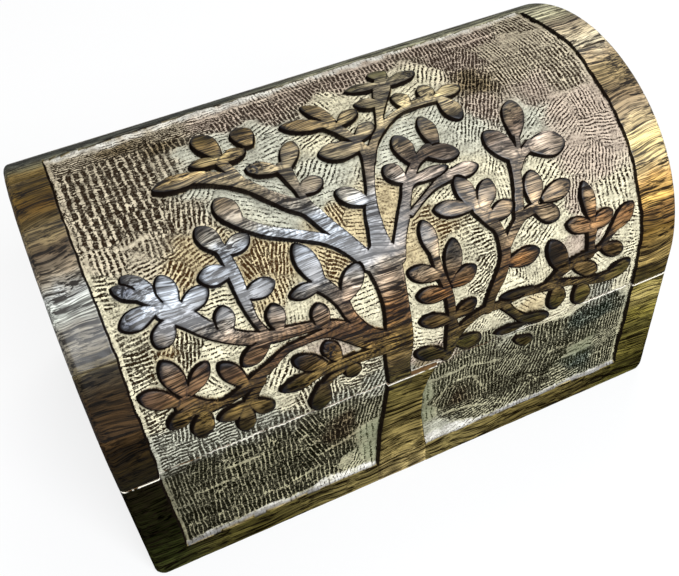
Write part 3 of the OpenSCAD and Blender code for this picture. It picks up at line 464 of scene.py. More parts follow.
# The ground was cut in runs, each with its own lie: x, s, lie of the cuts in degrees from the
# length of the box, their pitch and length, the share of the ground that they darken, and the stain.
RUNS = [
    # front board, left field
    (17, 45, 90, 1.2, 6, 0.63, "moss"), (17, 33, 92, 1.3, 7, 0.66, "moss"),
    (17, 20, 90, 1.4, 8, 0.7, "olive"), (26, 47, 80, 1.4, 6, 0.76, "olive"),
    (27, 33, 90, 1.6, 8, 0.74, "olive"), (28, 20, 90, 1.6, 8, 0.72, "olive"),
    (38, 48, 90, 1.6, 7, 0.72, "olive"), (36, 40, 90, 1.7, 2.1, 0.66, "olive"),
    (46, 38, 90, 1.7, 2.0, 0.64, "olive"), (38, 30, 90, 1.6, 6, 0.74, "olive"),
    (40, 20, 90, 1.6, 8, 0.72, "olive"), (50, 48, 90, 1.6, 7, 0.7, "olive"),
    (54, 40, 90, 1.6, 2.6, 0.7, "olive"), (52, 30, 90, 1.6, 6, 0.74, "olive"),
    (54, 19, 92, 1.6, 7, 0.74, "olive"), (63, 44, 110, 1.5, 7, 0.72, "olive"),
    (64, 30, 108, 1.6, 7, 0.74, "olive"), (74, 51, 85, 1.4, 2.4, 0.6, "moss"),
    (76, 43, 82, 1.6, 5, 0.78, "bark"), (73, 36.5, 88, 1.6, 5, 0.8, "bark"),
    (73, 27, 92, 1.5, 5, 0.7, "olive"), (66, 19, 90, 1.6, 4, 0.68, "olive"),
    (76, 18, 60, 1.3, 2.5, 0.4, "moss"), (83, 43, 75, 1.3, 5, 0.58, "moss"),
    (84, 31, 90, 2.4, 6, 0.14, "lichen"), (82.5, 20, 90, 2.4, 6, 0.2, "lichen"),
    # front board, right field
    (105.5, 41, 90, 2.2, 6, 0.3, "lichen"), (104.8, 29, 90, 2.2, 6, 0.2, "lichen"),
    (112, 50, 90, 1.2, 2.2, 0.56, "moss"), (121, 46, 88, 1.2, 2.4, 0.63, "moss"),
    (112.5, 42, 85, 1.4, 4, 0.68, "moss"), (113, 33, 70, 1.4, 5, 0.74, "olive"),
    (118, 30, 100, 1.4, 5, 0.74, "bark"), (117, 24, 0, 1.3, 4, 0.68, "olive"),
    (128, 42, 90, 1.2, 2.6, 0.64, "moss"), (129, 33, 92, 1.4, 4, 0.68, "olive"),
    (136, 27, 90, 1.3, 8, 0.8, "olive"), (144, 25, 85, 1.4, 8, 0.8, "olive"),
    (140, 36, 60, 1.3, 3, 0.58, "moss"), (150, 32, 75, 1.5, 6, 0.66, "moss"),
    (157, 34, 78, 1.5, 6, 0.68, "moss"), (152, 21, 92, 1.2, 8, 0.82, "olive"),
    (151, 47, 90, 1.6, 6, 0.63, "moss"), (158, 45, 90, 1.6, 6, 0.68, "moss"),
    (161, 35, 90, 1.6, 8, 0.82, "olive"), (167, 45, 90, 1.3, 5, 0.8, "slate"),
    (177, 47, 90, 1.3, 4, 0.76, "slate"), (170, 36, 90, 1.4, 5, 0.64, "moss"),
    (170, 29.6, 0, 2.0, 6, 0.3, "lichen"), (170, 22, 90, 1.2, 8, 0.76, "slate"),
    (181, 39, 90, 1.2, 2.2, 0.58, "moss"), (182, 30, 20, 1.1, 2, 0.53, "moss"),
    (182, 21, 90, 1.2, 4, 0.66, "moss"), (112, 17, 20, 1.6, 3, 0.4, "grey"),
    (126, 18, 20, 1.6, 2.6, 0.58, "moss"), (143, 17, 60, 1.6, 2.2, 0.63, "moss"),
    (163, 16, 10, 1.8, 2.4, 0.58, "moss"), (142, 47, 60, 1.4, 3, 0.58, "moss"),
    # lid, along the seam
    (18, 56.5, 5, 1.5, 4, 0.58, "grey"), (30, 56, 90, 1.8, 2, 0.62, "grey"),
    (42, 56, 90, 1.8, 2, 0.6, "grey"), (53, 56, 90, 1.8, 2, 0.6, "grey"),
    (20, 61.5, 0, 1.5, 5, 0.52, "grey"), (34, 60.5, 4, 1.5, 5, 0.52, "grey"),
    (50, 60.5, 0, 1.6, 5, 0.5, "grey"), (57, 65, 0, 1.6, 4, 0.46, "cream"),
    (64, 63, 100, 1.5, 3, 0.52, "cream"), (74, 56, 90, 1.7, 2.2, 0.6, "grey"),
    (72, 61.5, 90, 1.3, 1.8, 0.52, "cream"), (83, 62, -8, 1.5, 5, 0.54, "cream"),
    (87, 57, 60, 1.6, 3, 0.52, "grey"), (79, 66, -5, 1.5, 4, 0.5, "cream"),
    (100, 55.5, 60, 1.6, 3, 0.45, "grey"), (104, 56, 60, 1.6, 3, 0.3, "bark"),
    (128, 56, 90, 1.3, 2.4, 0.6, "moss"), (140, 56, 0, 1.6, 4, 0.35, "grey"),
    (155, 55.5, 0, 1.8, 4, 0.14, "cream"), (163, 56.5, 0, 1.8, 4, 0.1, "cream"),
    (175, 56.6, 90, 1.5, 3, 0.58, "grey"), (185, 58, 90, 1.6, 3, 0.35, "cream"),
    (112, 58, 60, 1.6, 3, 0.5, "plum"),
    # lid, down the left side
    (18, 69, 0, 1.5, 4, 0.62, "grey"), (18, 77, 2, 1.5, 5, 0.62, "cream"),
    (17, 84, 4, 1.4, 5, 0.62, "cream"), (17, 92, 6, 1.4, 5, 0.58, "cream"),
    (18, 99, -3, 1.4, 4.5, 0.56, "cream"), (19, 106, 5, 1.5, 5, 0.5, "cream"),
    (17, 114, 5, 1.6, 5, 0.46, "cream"), (15, 121.5, -10, 1.5, 4, 0.5, "cream"),
    (24, 68, 80, 1.2, 1.8, 0.58, "grey"),
    # lid, left of the trunk
    (33, 96.5, 75, 1.2, 2.6, 0.54, "cream"), (27, 98.8, 60, 1.4, 3, 0.57, "tan"),
    (40, 93.5, 0, 1.5, 3, 0.26, "cream"), (37, 86, -55, 1.2, 1.8, 0.45, "cream"),
    (34, 80, 0, 1.6, 2, 0.16, "cream"), (44, 95, 20, 1.1, 1.6, 0.3, "cream"),
    (52, 84, 0, 1.6, 3, 0.18, "cream"), (39, 118, 45, 1.4, 3, 0.52, "tan"),
    (43, 124, 20, 1.3, 3, 0.49, "tan"), (30, 125.5, 10, 1.4, 2.4, 0.45, "umber"),
    (47, 109, -5, 1.3, 4, 0.34, "cream"), (46, 101, 0, 1.5, 3, 0.22, "cream"),
    (57.5, 114, 108, 1.2, 3.2, 0.55, "tan"), (62, 115.5, 90, 1.2, 3.4, 0.57, "tan"),
    (67, 114, 70, 1.2, 3.2, 0.53, "tan"), (62, 104.5, 90, 1.3, 1.7, 0.47, "tan"),
    (66.5, 97.5, 85, 1.2, 2.4, 0.4, "cream"), (60, 88.5, 0, 1.8, 4, 0.12, "cream"),
    (57, 76.5, 60, 1.6, 2.6, 0.42, "cream"), (73, 79, 100, 1.5, 4, 0.34, "plum"),
    (78, 109.5, -35, 1.3, 3, 0.41, "tan"), (84.5, 106, -35, 1.2, 2.5, 0.59, "tan"),
    (72, 124, -30, 1.3, 2.5, 0.26, "grey"), (87, 119.5, 100, 1.2, 2.6, 0.53, "tan"),
    (93, 115, -15, 1.2, 4, 0.26, "tan"), (87, 91.5, 0, 1.6, 3, 0.22, "cream"),
    (90, 82, 0, 1.6, 3, 0.12, "cream"),
    # lid, right of the trunk
    (104, 118, -30, 1.2, 3, 0.43, "tan"), (103.5, 87, -60, 1.5, 3, 0.26, "cream"),
    (104, 68, -20, 1.5, 4, 0.36, "cream"), (103, 78, -40, 1.5, 3, 0.2, "cream"),
    (102, 62, 30, 1.4, 3, 0.3, "plum"), (106, 99.5, 0, 1.3, 4, 0.22, "tan"),
    (118, 106, 0, 1.2, 4, 0.53, "tan"), (122, 115, 30, 1.1, 1.8, 0.36, "cream"),
    (126.5, 96, 0, 1.3, 4, 0.48, "cream"), (126, 85, 30, 1.2, 2.5, 0.5, "cream"),
    (119, 82, 0, 1.5, 3, 0.2, "cream"), (141, 75.5, 0, 2.0, 5, 0.08, "cream"),
    (144, 79, 90, 1.1, 2, 0.45, "cream"), (146, 82.5, 90, 1.2, 1.6, 0.32, "cream"),
    (147, 92, 30, 1.4, 4, 0.46, "cream"), (142, 97, 40, 1.3, 2, 0.3, "cream"),
    (136, 114, 60, 1.2, 1.8, 0.36, "cream"), (142, 108, 90, 1.2, 2, 0.3, "cream"),
    (157, 109, 40, 1.4, 2, 0.36, "cream"), (160, 96.5, 30, 1.3, 2.4, 0.42, "cream"),
    (165, 98, 70, 1.2, 2.5, 0.46, "plum"), (177.5, 109, 70, 1.2, 1.5, 0.36, "plum"),
    (169.5, 113, 40, 1.1, 1.5, 0.36, "plum"), (183, 119, -10, 1.2, 1.6, 0.38, "plum"),
    (178.5, 96.5, 90, 1.7, 1.8, 0.42, "cream"), (183, 80, -20, 1.3, 2.6, 0.42, "cream"),
    (184, 71, 0, 1.3, 2, 0.42, "cream"), (164, 83, 40, 1.3, 3, 0.32, "plum"),
    (155.5, 90, 40, 1.4, 3.5, 0.36, "cream"), (174, 73.5, -50, 1.4, 2.5, 0.26, "cream"),
    (146, 64, -45, 1.6, 5, 0.2, "tan"), (129, 64, 60, 1.3, 2.2, 0.38, "cream"),
    (162, 62, 0, 1.6, 4, 0.1, "cream"),
    # lid, upper left field
    (20, 130, 90, 1.7, 1.7, 0.46, "umber"), (33, 131, 90, 1.6, 1.6, 0.5, "umber"),
    (20, 138, 90, 2.4, 3.4, 0.52, "umber"), (22, 147, 92, 2.4, 4.4, 0.56, "umber"),
    (22, 157, 90, 2.4, 2, 0.54, "umber"), (22, 166, 90, 2.4, 2, 0.56, "umber"),
    (35, 138, 90, 2.4, 4, 0.56, "umber"), (36, 147, 90, 2.4, 4.4, 0.56, "umber"),
    (36, 157, 90, 2.4, 2, 0.56, "umber"), (36, 166, 90, 2.4, 2.2, 0.6, "umber"),
    (48, 159, 90, 2.4, 3, 0.5, "umber"), (49, 169, 90, 1.8, 2.4, 0.6, "bark"),
    (47, 138.5, 75, 1.5, 3, 0.5, "umber"), (52, 143, 50, 1.4, 2.5, 0.36, "grey"),
    (63, 139, -35, 1.4, 2, 0.2, "grey"), (70, 131, -35, 1.4, 2, 0.2, "grey"),
    (72, 139.5, -35, 1.4, 2.2, 0.26, "grey"), (20, 176, 0, 1.5, 5, 0.56, "umber"),
    (36, 176, 0, 1.5, 5, 0.6, "bark"), (52, 176, 5, 1.5, 5, 0.6, "umber"),
    (66, 176, 0, 1.5, 5, 0.56, "plum"), (77, 159.5, 30, 1.7, 2.2, 0.32, "grey"),
    (82, 153, 10, 1.8, 3, 0.3, "grey"), (66, 160, 0, 1.8, 3, 0.22, "grey"),
    (53, 160, 0, 1.7, 3, 0.32, "grey"), (84, 168, 90, 1.3, 4, 0.6, "plum"),
    (70, 171, 90, 1.4, 2.4, 0.56, "plum"), (98, 174, 90, 1.3, 3, 0.56, "plum"),
    (92, 135.5, 50, 1.5, 2, 0.36, "grey"), (87, 127, 0, 1.6, 4, 0.16, "grey"),
    (93, 147, 20, 1.4, 2.2, 0.4, "cream"), (104, 163, 100, 1.5, 2.5, 0.4, "cream"),
    (108, 151, 30, 1.5, 2, 0.4, "cream"),
    # lid, upper right field
    (112, 172, 80, 1.4, 3, 0.56, "plum"), (130, 160, 30, 1.4, 2, 0.26, "cream"),
    (138, 163, 60, 1.5, 2, 0.38, "cream"), (146, 166, 75, 1.1, 2.2, 0.64, "plum"),
    (155, 161, 60, 1.1, 2.4, 0.66, "plum"), (151, 148.5, 60, 1.2, 3, 0.64, "bark"),
    (165, 161.5, 90, 1.2, 1.6, 0.46, "umber"), (178, 163.5, 90, 1.3, 1.6, 0.44, "umber"),
    (165, 150.5, 90, 1.2, 2, 0.5, "umber"), (178, 150.5, 88, 1.4, 3, 0.5, "umber"),
    (181, 139.5, 90, 1.5, 4.5, 0.5, "umber"), (168, 139.5, 80, 1.2, 1.8, 0.48, "plum"),
    (161, 129, 30, 1.2, 2, 0.36, "grey"), (171, 129, 30, 1.1, 1.5, 0.38, "plum"),
    (183, 128.5, 90, 1.2, 1.6, 0.4, "plum"), (148, 138.5, 60, 1.2, 2, 0.52, "plum"),
    (141, 133, 60, 1.2, 2, 0.42, "grey"), (134, 139.5, 40, 1.2, 1.8, 0.26, "grey"),
    (121, 136, 0, 1.4, 2, 0.18, "grey"), (112, 136, 0, 1.4, 2, 0.18, "grey"),
    (126, 177, 80, 1.4, 3, 0.52, "plum"), (146, 179, 75, 1.3, 3, 0.56, "plum"),
    (165, 176, 80, 1.3, 3, 0.56, "plum"), (182, 175, 85, 1.4, 4, 0.52, "umber"),
]

# Coarse banks left standing where one run of cuts ended, from [x, s] to [x, s].
BANKS = [
    [65.6, 30.6, 83, 35.6], [53, 21, 65, 24], [160, 27.8, 179, 28.6], [132, 18.6, 109, 25],
    [107.5, 31, 115, 41], [115, 41, 125, 39], [125, 39, 129, 30], [104, 45.5, 122, 46.5],
    [122, 46.5, 136, 41.5], [31, 43.4, 46, 43.2], [20, 36.6, 37, 36.2], [111, 168.5, 122, 169],
    [22, 132.6, 34, 134], [55, 180, 100, 179.5], [150, 173.5, 176, 174],
]


def colour(code):
    """Linear colour of a paint code such as 5A4030."""
    c = np.array([int(code[k : k + 2], 16) / 255 for k in (0, 2, 4)])
    return np.where(c <= 0.04045, c / 12.92, ((c + 0.055) / 1.055) ** 2.4)


def shades(s, stops):
    """Colour at each s, blended between the stops (s, code)."""
    at = [v[0] for v in stops]
    codes = np.array([colour(v[1]) for v in stops])
    return np.stack([np.interp(s, at, codes[:, k]) for k in range(3)], -1)


def cut_ground(x, s):
    """The cuts over the ground: place across and along them, counted in cuts, the share of the
    ground that they darken, and the colours down in them and between them."""
    # Each point belongs to the run whose middle lies nearest, over borders that wander.
    wx = x + 1.2 * ripple(x, s, 8, 40) + 0.4 * ripple(x, s, 2.6, 41)
    ws = s + 1.2 * ripple(x, s, 8, 42) + 0.4 * ripple(x, s, 2.6, 43)
    bend, bow = 0.22 * ripple(x, s, 5, 44), 0.5 * ripple(x, s, 9, 45)
    best = np.full(x.shape, 1e9)
    across, along, share, total = (np.zeros(x.shape) for _ in range(4))
    low, high = np.zeros((*x.shape, 3)), np.zeros((*x.shape, 3))
    for number, (px, ps, lie, pitch, length, dark, stain) in enumerate(RUNS):
        far2 = (wx - px) ** 2 + (ws - ps) ** 2
        near = far2 < best
        if not near.any():
            continue
        turn = math.radians(lie)
        v = ((s - ps) * math.cos(turn) - (x - px) * math.sin(turn) + bend) / pitch + 40.0 * number + 20
        u = ((x - px) * math.cos(turn) + (s - ps) * math.sin(turn) + bow) / length + 20
        best[near] = far2[near]
        across[near], along[near], share[near] = v[near], u[near], dark
        # Stains run into each other more softly than cuts do.
        weight = 1 / (far2 + 5) ** 2
        total += weight
        for tint, code in zip((low, high), STAINS[stain]):
            tint += weight[..., None] * colour(code)
    return across, along, share, low / total[..., None], high / total[..., None]


# Mid colours of the standing wood up each side of the box. Dark and light grain lie round them.
# On the left from about s 101 to 124, the tree's blue-grey is a painted sheen of the sky, and the
# border there is the third stave's lighter wood with a painted sheen over it.
LEFT_BORDER = [
    (0, "2A2C16"), (8, "1B1F0C"), (30, "0D0F05"), (54, "0F0E06"), (66, "181206"), (74, "1E1508"),
    # From s 101 to 124: the third stave's lighter wood, with a painted sheen over it.
    (79, "2E2214"), (86, "261B0E"), (93, "241B0F"), (98, "2A241A"), (101, "46402F"), (108, "4E4B44"),
    (114, "686660"), (120, "949A98"), (124, "8A8E90"), (127, "76746E"), (132, "645C50"), (138, "41372B"),
    (144, "5C523C"), (150, "3C321C"), (157, "443213"), (162, "4E3E1A"), (168, "2E240C"), (175, "5C4E2E"),
    (180, "5E5A44"), (186, "444640"), (190, "363A36"), (196, "2E3230"),
]
RIGHT_BORDER = [
    (0, "3E3C1C"), (8, "2C2A10"), (18, "504B24"), (30, "38351A"), (38, "645D2C"), (48, "7E744A"),
    (53, "686034"), (55, "262210"), (60, "382F14"), (66, "786840"), (74, "5C4B28"), (80, "483717"),
    (86, "765A34"), (90, "A88A4E"), (96, "8E7248"), (102, "9E8E6A"), (110, "A89A6C"), (115, "B0A07C"),
    (120, "766A56"), (126, "6C5E4A"), (132, "665A42"), (138, "7E7052"), (144, "8E8068"), (150, "A6A08C"),
    (156, "9C927C"), (164, "7A7060"), (170, "807E6A"), (176, "A0A08A"), (182, "8A8A78"), (188, "66685A"),
    (196, "42463E"),
]
LEFT_TREE = [
    (0, "6C6244"), (15, "645A38"), (32, "524A2C"), (54, "4A4424"), (58, "332D19"), (66, "3A3120"),
    # From s 101.2 to 124.4 the blue-grey is a painted sheen of the sky.
    (74, "544628"), (84, "402F20"), (90, "5E4B39"), (96, "7E7267"), (101.2, "7C7975"), (104, "76787E"),
    (112, "7E8693"), (120, "8E96A2"), (124.4, "85847F"), (130, "706960"), (138, "706855"),
    (144, "847961"), (150, "7C6C4C"), (158, "5C4E34"), (168, "40381F"),
]
RIGHT_TREE = [
    (0, "6C6244"), (15, "645A38"), (32, "524A2C"), (46, "3A341E"), (54, "3E3822"), (57, "302916"),
    (62, "463C20"), (70, "50432A"), (78, "382C1A"), (84, "4C3B26"), (90, "665440"), (97, "786B58"),
    (104, "84735D"), (110, "7A6D5C"), (116, "7B7063"), (122, "7C736C"), (128, "4F443B"), (134, "635849"),
    (140, "7E7156"), (146, "857B60"), (152, "7C7359"), (160, "686152"), (168, "45432F"),
]
# The same along the strip below the fields, as (x, code).
FRONT_STRIP = [
    (12, "35331A"), (40, "3E3A1C"), (62, "4A4428"), (78, "5E5636"), (112, "5E5636"), (145, "4E4628"),
    (190, "403A20"),
]
DARK_GRAIN, LIGHT_GRAIN = [0.08, 0.065, 0.055], [2.6, 2.45, 2.2]

# Where the standing wood was scorched darker or rubbed warmer: x, s, reach along each, and the share
# of red, green and blue that is left there. Where a dark spot keeps more blue than red, that blue is a
# painted sheen of the sky on scorched wood, and the spot at x 112.5, s 104 is a painted blue-grey sheen.
SPOTS = [
    # The blue kept in these dark spots, and the blue-grey at x 112.5, s 104, are painted sheen.
    (153, 83, 6.5, 7.5, 0.1, 0.11, 0.14), (120, 95.5, 4, 6.5, 0.2, 0.23, 0.3),
    (112.5, 104, 2.5, 4.5, 0.75, 0.9, 1.2), (142, 74, 9, 1.6, 0.35, 0.4, 0.5),
    (166.5, 98, 1.5, 6, 0.2, 0.25, 0.35), (171, 92, 8, 6, 1.3, 1.06, 0.82),
    (183, 88, 5, 4, 1.25, 1.02, 0.8), (115, 85, 8, 3, 1.35, 1.05, 0.75), (141, 86, 5, 3, 1.4, 1.1, 0.8),
    (104, 61, 5, 4.5, 0.45, 0.55, 0.5), (120, 61, 5, 4.5, 0.5, 0.6, 0.5),
    (154, 62, 4, 4.5, 0.55, 0.6, 0.5), (165, 61, 4, 4.5, 0.6, 0.7, 0.5), (181, 66, 6, 4, 0.65, 0.75, 0.6),
    (145, 60, 9, 4, 0.4, 0.45, 0.4), (136, 66, 3, 5, 0.35, 0.4, 0.35), (27, 97, 4, 3.5, 0.4, 0.42, 0.5),
    (42.5, 88, 3, 4, 0.3, 0.32, 0.4), (17, 88, 3, 3, 0.5, 0.5, 0.6), (36, 90, 3, 3, 0.5, 0.5, 0.6),
    (23, 76, 3, 3, 0.4, 0.42, 0.4), (30, 66, 4, 5, 0.55, 0.56, 0.5), (42, 63, 3.5, 4, 0.5, 0.5, 0.4),
    (50, 68, 3, 3, 0.6, 0.6, 0.5), (61, 72, 4, 3, 0.35, 0.38, 0.35), (66, 60, 3.5, 6, 0.4, 0.42, 0.35),
    (79, 67, 3, 3, 0.45, 0.5, 0.4), (63, 80, 3, 2, 0.5, 0.5, 0.6), (92, 86, 7, 6, 1.4, 1.15, 0.8),
    (22, 119, 3, 2.5, 0.4, 0.4, 0.45), (20, 109, 3, 2, 0.5, 0.5, 0.55),
    (26, 102, 3, 2.5, 0.45, 0.42, 0.4), (60, 163, 3.5, 5, 0.75, 0.72, 0.6),
    (72, 161, 3, 4, 0.75, 0.72, 0.6), (61, 152, 8, 2, 1.05, 1.15, 1.2),
    (140, 138, 3.5, 3.5, 0.2, 0.22, 0.3), (50, 131, 3, 3, 0.6, 0.65, 0.75),
    (57, 136, 3, 3, 0.8, 0.7, 0.6),
]
FOOT_LINE = "93918E"

# The floor lies this deep at the left and less from the middle on, and it swells a little.
FLOOR_LEFT, FLOOR_RIGHT, DEEPEST = 1.95, 1.1, PANEL_DEPTH + 0.55
SWELL, SMALL_SWELL = 0.22, 0.08
# A cut goes this deep, and further the more it darkens. A bank stands up from the floor in a bow.
CUT_DEPTH, DARK_CUT_DEPTH = 0.12, 0.3
BANK_HEIGHT, BANK_HALF_W, BANK_BOW = 0.35, 0.45, 0.7
# The tool went in deeper along the panel's edge and round the foot of the tree.
EDGE_CUT, EDGE_CUT_W, TREE_CUT, TREE_CUT_W = 0.25, 0.4, 0.3, 0.35
# The floor ramps up towards the face below and above these places.
FOOT_RAMP, HEAD_RAMP, RAMP_RISE = 12.0, 180, 0.75
# The part of the ground that cuts darken on a ramp, and along the panel's edge.
RAMP_SHARE, EDGE_SHARE = 0.16, 0.1
# How much painted highlight brightens the tree's edges that face the light and rubbing brightened
# its trunk, and how much painted shade darkens its edges that face away and the ground beside them.
# The lit sides face this way, to the right and up.
PAINTED_EDGE_HIGHLIGHT, RUBBED_TRUNK, PAINTED_EDGE_SHADE, PAINTED_GROUND_SHADOW = 0.7, 0.9, 0.45, 0.55
LIT_X, LIT_S = 0.75, 0.66
# Depth of the line cut between a leaf and what it lies over, and the rounding of the panel's edge.
GROOVE, EDGE_ROUNDING = 0.4, 0.3


def panel_margin(x, s):
    """How far in from the edge of the sunk panel each point lies. The edge was cut by eye."""
    left = PANEL_LEFT + 0.3 * ripple(s, 0, 21, 5) + 0.12 * ripple(s, 0, 5, 6)
    right = PANEL_RIGHT + 0.35 * ripple(s, 0, 25, 7) + 0.15 * ripple(s, 0, 6, 8) - 0.9 * smooth(120, 60, s)
    low = PANEL_BOTTOM + 0.25 * ripple(x, 0, 24, 9)
    high = PANEL_TOP + 0.9 * ripple(x, 0, 45, 10) - 1
    return np.minimum.reduce([x - left, right - x, s - low, high - s])


def banks(x, s):
    """The coarse banks over a grid, from 0 to 1 at their crests."""
    crests = np.zeros(x.shape)
    for x0, s0, x1, s1 in BANKS:
        t, _ = beside_line(x, s, (x0, s0), (x1, s1))
        off = ((s - s0) * (x1 - x0) - (x - x0) * (s1 - s0)) / math.dist((x0, s0), (x1, s1))
        off += BANK_BOW * np.sin(np.pi * t) + 0.3 * ripple(x, s, 5, 46)
        crests = np.maximum(crests, hump(off, BANK_HALF_W) * smooth(0, 0.12, t) * smooth(1, 0.88, t))
    return crests


def gouged_ground(x, s, deep, margin):
    """The floor of the panel over a grid: its height, its cuts, its two colours, and how far it has
    risen towards the board's face at its foot and head, from 0 to 1."""
    across, along, share, low, high = cut_ground(x, s)
    # The foot's ramp reaches higher on both sides of the trunk.
    foot_edge = FOOT_RAMP + 1.8 * smooth(58, 66, x) * smooth(90, 80, x)
    foot_edge += 3.6 * smooth(98, 104, x) * smooth(134, 114, x)
    foot_s = s + 0.5 * ripple(x, 0, 19, 18) + 0.4 * ripple(x, s, 2, 50)
    foot = smooth(foot_edge + 0.5, foot_edge - 0.9, foot_s)
    head_s = s + 1.6 * ripple(x, 0, 31, 19)
    head = smooth(HEAD_RAMP, PANEL_TOP - 1, head_s)
    # Few cuts reach the ramps, the wood that stands or the panel's edge, and none crosses a bank.
    share = mix(mix(share, RAMP_SHARE, np.maximum(foot, head)), share * 0.4, smooth(1.1, 0.5, -deep))
    share = mix(share, EDGE_SHARE, smooth(1.7, 0.9, margin) * smooth(0.2, 0.6, margin))
    bank = banks(x, s)
    share *= 1 - bank

    floor_level = -mix(FLOOR_LEFT, FLOOR_RIGHT, smooth(15, 120, x))
    swell = SWELL * ripple(x, s, 17, 16) + SMALL_SWELL * ripple(x, s, 4, 17)
    off_middle = np.abs(across - np.floor(across) - 0.5) * 2
    to_ends = np.abs(along - np.floor(along) - 0.5) * 2
    hollow = (1 - off_middle**2) * (1 - to_ends**4)
    height = floor_level + swell - (CUT_DEPTH + DARK_CUT_DEPTH * share) * hollow + BANK_HEIGHT * bank
    rise = np.maximum(smooth(foot_edge - 0.3, 10.3, s), smooth(HEAD_RAMP + 1.5, PANEL_TOP, head_s))
    height -= floor_level * RAMP_RISE * rise
    height -= EDGE_CUT * hump(margin, EDGE_CUT_W) * (1 - foot) * (1 - head)
    height -= TREE_CUT * hump(deep + 0.4, TREE_CUT_W)
    height = np.maximum(height, -DEEPEST)
    return height, (across, along, share), low, high, np.maximum(foot, head)


def standing_colour(x, s, deep, shade, away_from_light):
    """Mid colour of the tree over a grid, with painted highlight and painted shade at its edges."""
    uneven = s + 1.2 * ripple(x, s, 9, 30) + 0.5 * ripple(x, s, 3, 31)
    to_right = smooth(88, 120, x)[..., None]
    wood = mix(shades(uneven, LEFT_TREE), shades(uneven, RIGHT_TREE), to_right)
    # Painted highlight on the edges that face right and up, painted shade on those that face left and
    # down, and a patch of the trunk brightened by rubbing.
    rubbed = 1 + PAINTED_EDGE_HIGHLIGHT * hump(deep - 0.6, 0.4) * (1 - away_from_light) ** 2
    rubbed *= 1 - PAINTED_EDGE_SHADE * hump(deep - 0.6, 0.6) * away_from_light**2
    rubbed *= 1 + RUBBED_TRUNK * hump(x - 91, 11) * hump(s - 78, 19)
    wood = wood * (shade * rubbed * (1 + 0.3 * ripple(x, s, 8, 60)))[..., None]
    for cx, cs, reach_x, reach_s, *left in SPOTS:
        near = (hump(x - cx, reach_x) * hump(s - cs, reach_s))[..., None]
        wood = wood * (1 + (np.array(left) - 1) * near)
    return wood


def border_colour(x, s):
    """Mid colour of the plain border over a grid."""
    uneven = s + 1.2 * ripple(x, s, 9, 30) + 0.5 * ripple(x, s, 3, 31)
    to_right = smooth(60, 130, x)[..., None]
    border = mix(shades(uneven, LEFT_BORDER), shades(uneven, RIGHT_BORDER), to_right)
    strip = smooth(8, 26, x) * smooth(190, 170, x) * (s < 11.5)
    return mix(border, shades(x, FRONT_STRIP), strip[..., None])


def limed_colours(x, s, low, high, ramped):
    """The ground's two colours, with lime on its ramps and painted shade on the base, darker towards its
    left end and its top, and just above the seam.
    """
    lime = smooth(0, 1, ramped * (0.85 + 0.35 * ripple(x, s, 6, 25)))[..., None]
    low, high = (mix(tint, colour(code), lime) for tint, code in zip((low, high), STAINS["lime"]))
    high = mix(high, colour(FOOT_LINE), (smooth(11.9, 10.9, s) * smooth(9, 10.5, s))[..., None])
    shadow = 1 - (0.36 * smooth(36, 14, x) + 0.2 * smooth(19, 27, s)) * smooth(54.3, 53.5, s)
    shadow *= 1 - 0.16 * smooth(SEAM, 54.4, s) * smooth(66, 58, s)
    return low, high * shadow[..., None]


def relief(x, s):
    """The carved face over a grid: height (0 at the old face), and four colours for each point. tone
    is the dark colour and wash the light one. marks holds how far in from the edge of standing wood
    it lies, how far from a black line, which is burnt and in places painted shadow, and its soot.
    cuts holds places across and along the gouge cuts and the share that they darken."""
    tree = StandingWood(x, s)
    deep = tree.deep
    margin = panel_margin(x, s)
    ground, cuts, low, high, ramped = gouged_ground(x, s, deep, margin)

    on_tree = deep > 0.02
    face = 0.035 * ripple(x, s, 15, 20) + 0.02 * ripple(x, s, 3.5, 21) - 0.05
    rounding = -EDGE_ROUNDING * hump(np.clip(-margin, 0, None), EDGE_ROUNDING)
    in_panel = mix(ground, np.maximum(tree.top, ground) + face, smooth(-WALL, 0.03, deep))
    groove = GROOVE * smooth(0.34, 0.06, tree.line)
    in_panel = np.where(on_tree, tree.top + face - groove, in_panel)
    share_in = np.where(on_tree, 1, smooth(-0.05, 0.35, margin))
    on_border = (margin < 0) & ~on_tree
    height = np.where(on_border, face + rounding, mix(rounding, in_panel, share_in))

    # Painted shadow: smoked darkens the ground beside the sides of the tree that face left and down,
    # away from the light.
    out_s, out_x = (-v for v in np.gradient(deep, s[:, 0], x[0]))
    steep = np.maximum(np.hypot(out_x, out_s), 0.05)
    away_from_light = 0.5 - 0.5 * (LIT_X * out_x + LIT_S * out_s) / steep
    smoked = (1 - PAINTED_GROUND_SHADOW * hump(deep, 0.8) * away_from_light**2)[..., None]
    low, high = (tint * smoked for tint in limed_colours(x, s, low, high, ramped))
    wood = standing_colour(x, s, deep, tree.shade, away_from_light)
    mid = np.where(on_border[..., None], border_colour(x, s), wood)
    stands = np.maximum(deep, -margin)
    raised = (stands > -0.2)[..., None]
    tone = np.where(raised, mid * DARK_GRAIN, low)
    wash = np.where(raised, mid * LIGHT_GRAIN, high)

    # The black outline round the tree is widened as painted shadow on its sides that face left and down, and
    # made narrower up the lid past s 115.
    shadow_widening = 0.15 * (2 * away_from_light - 1) - 0.07 * smooth(115, 135, s)
    outline = np.where(margin > -0.1, np.abs(deep - 0.1) - shadow_widening, FAR)
    wall = np.where(deep < 0.1, np.abs(margin + 0.1) + 0.5 * ramped, FAR)
    line_and_shadow_distance = np.minimum.reduce([tree.line, outline, wall])
    soot = np.where(deep > -0.1, tree.soot, 0)
    marks = np.stack([stands.clip(-3, 3), line_and_shadow_distance.clip(0, 3), soot], -1)
    return np.minimum(height, 0), {"tone": tone, "wash": wash, "marks": marks, "cuts": np.stack(cuts, -1)}


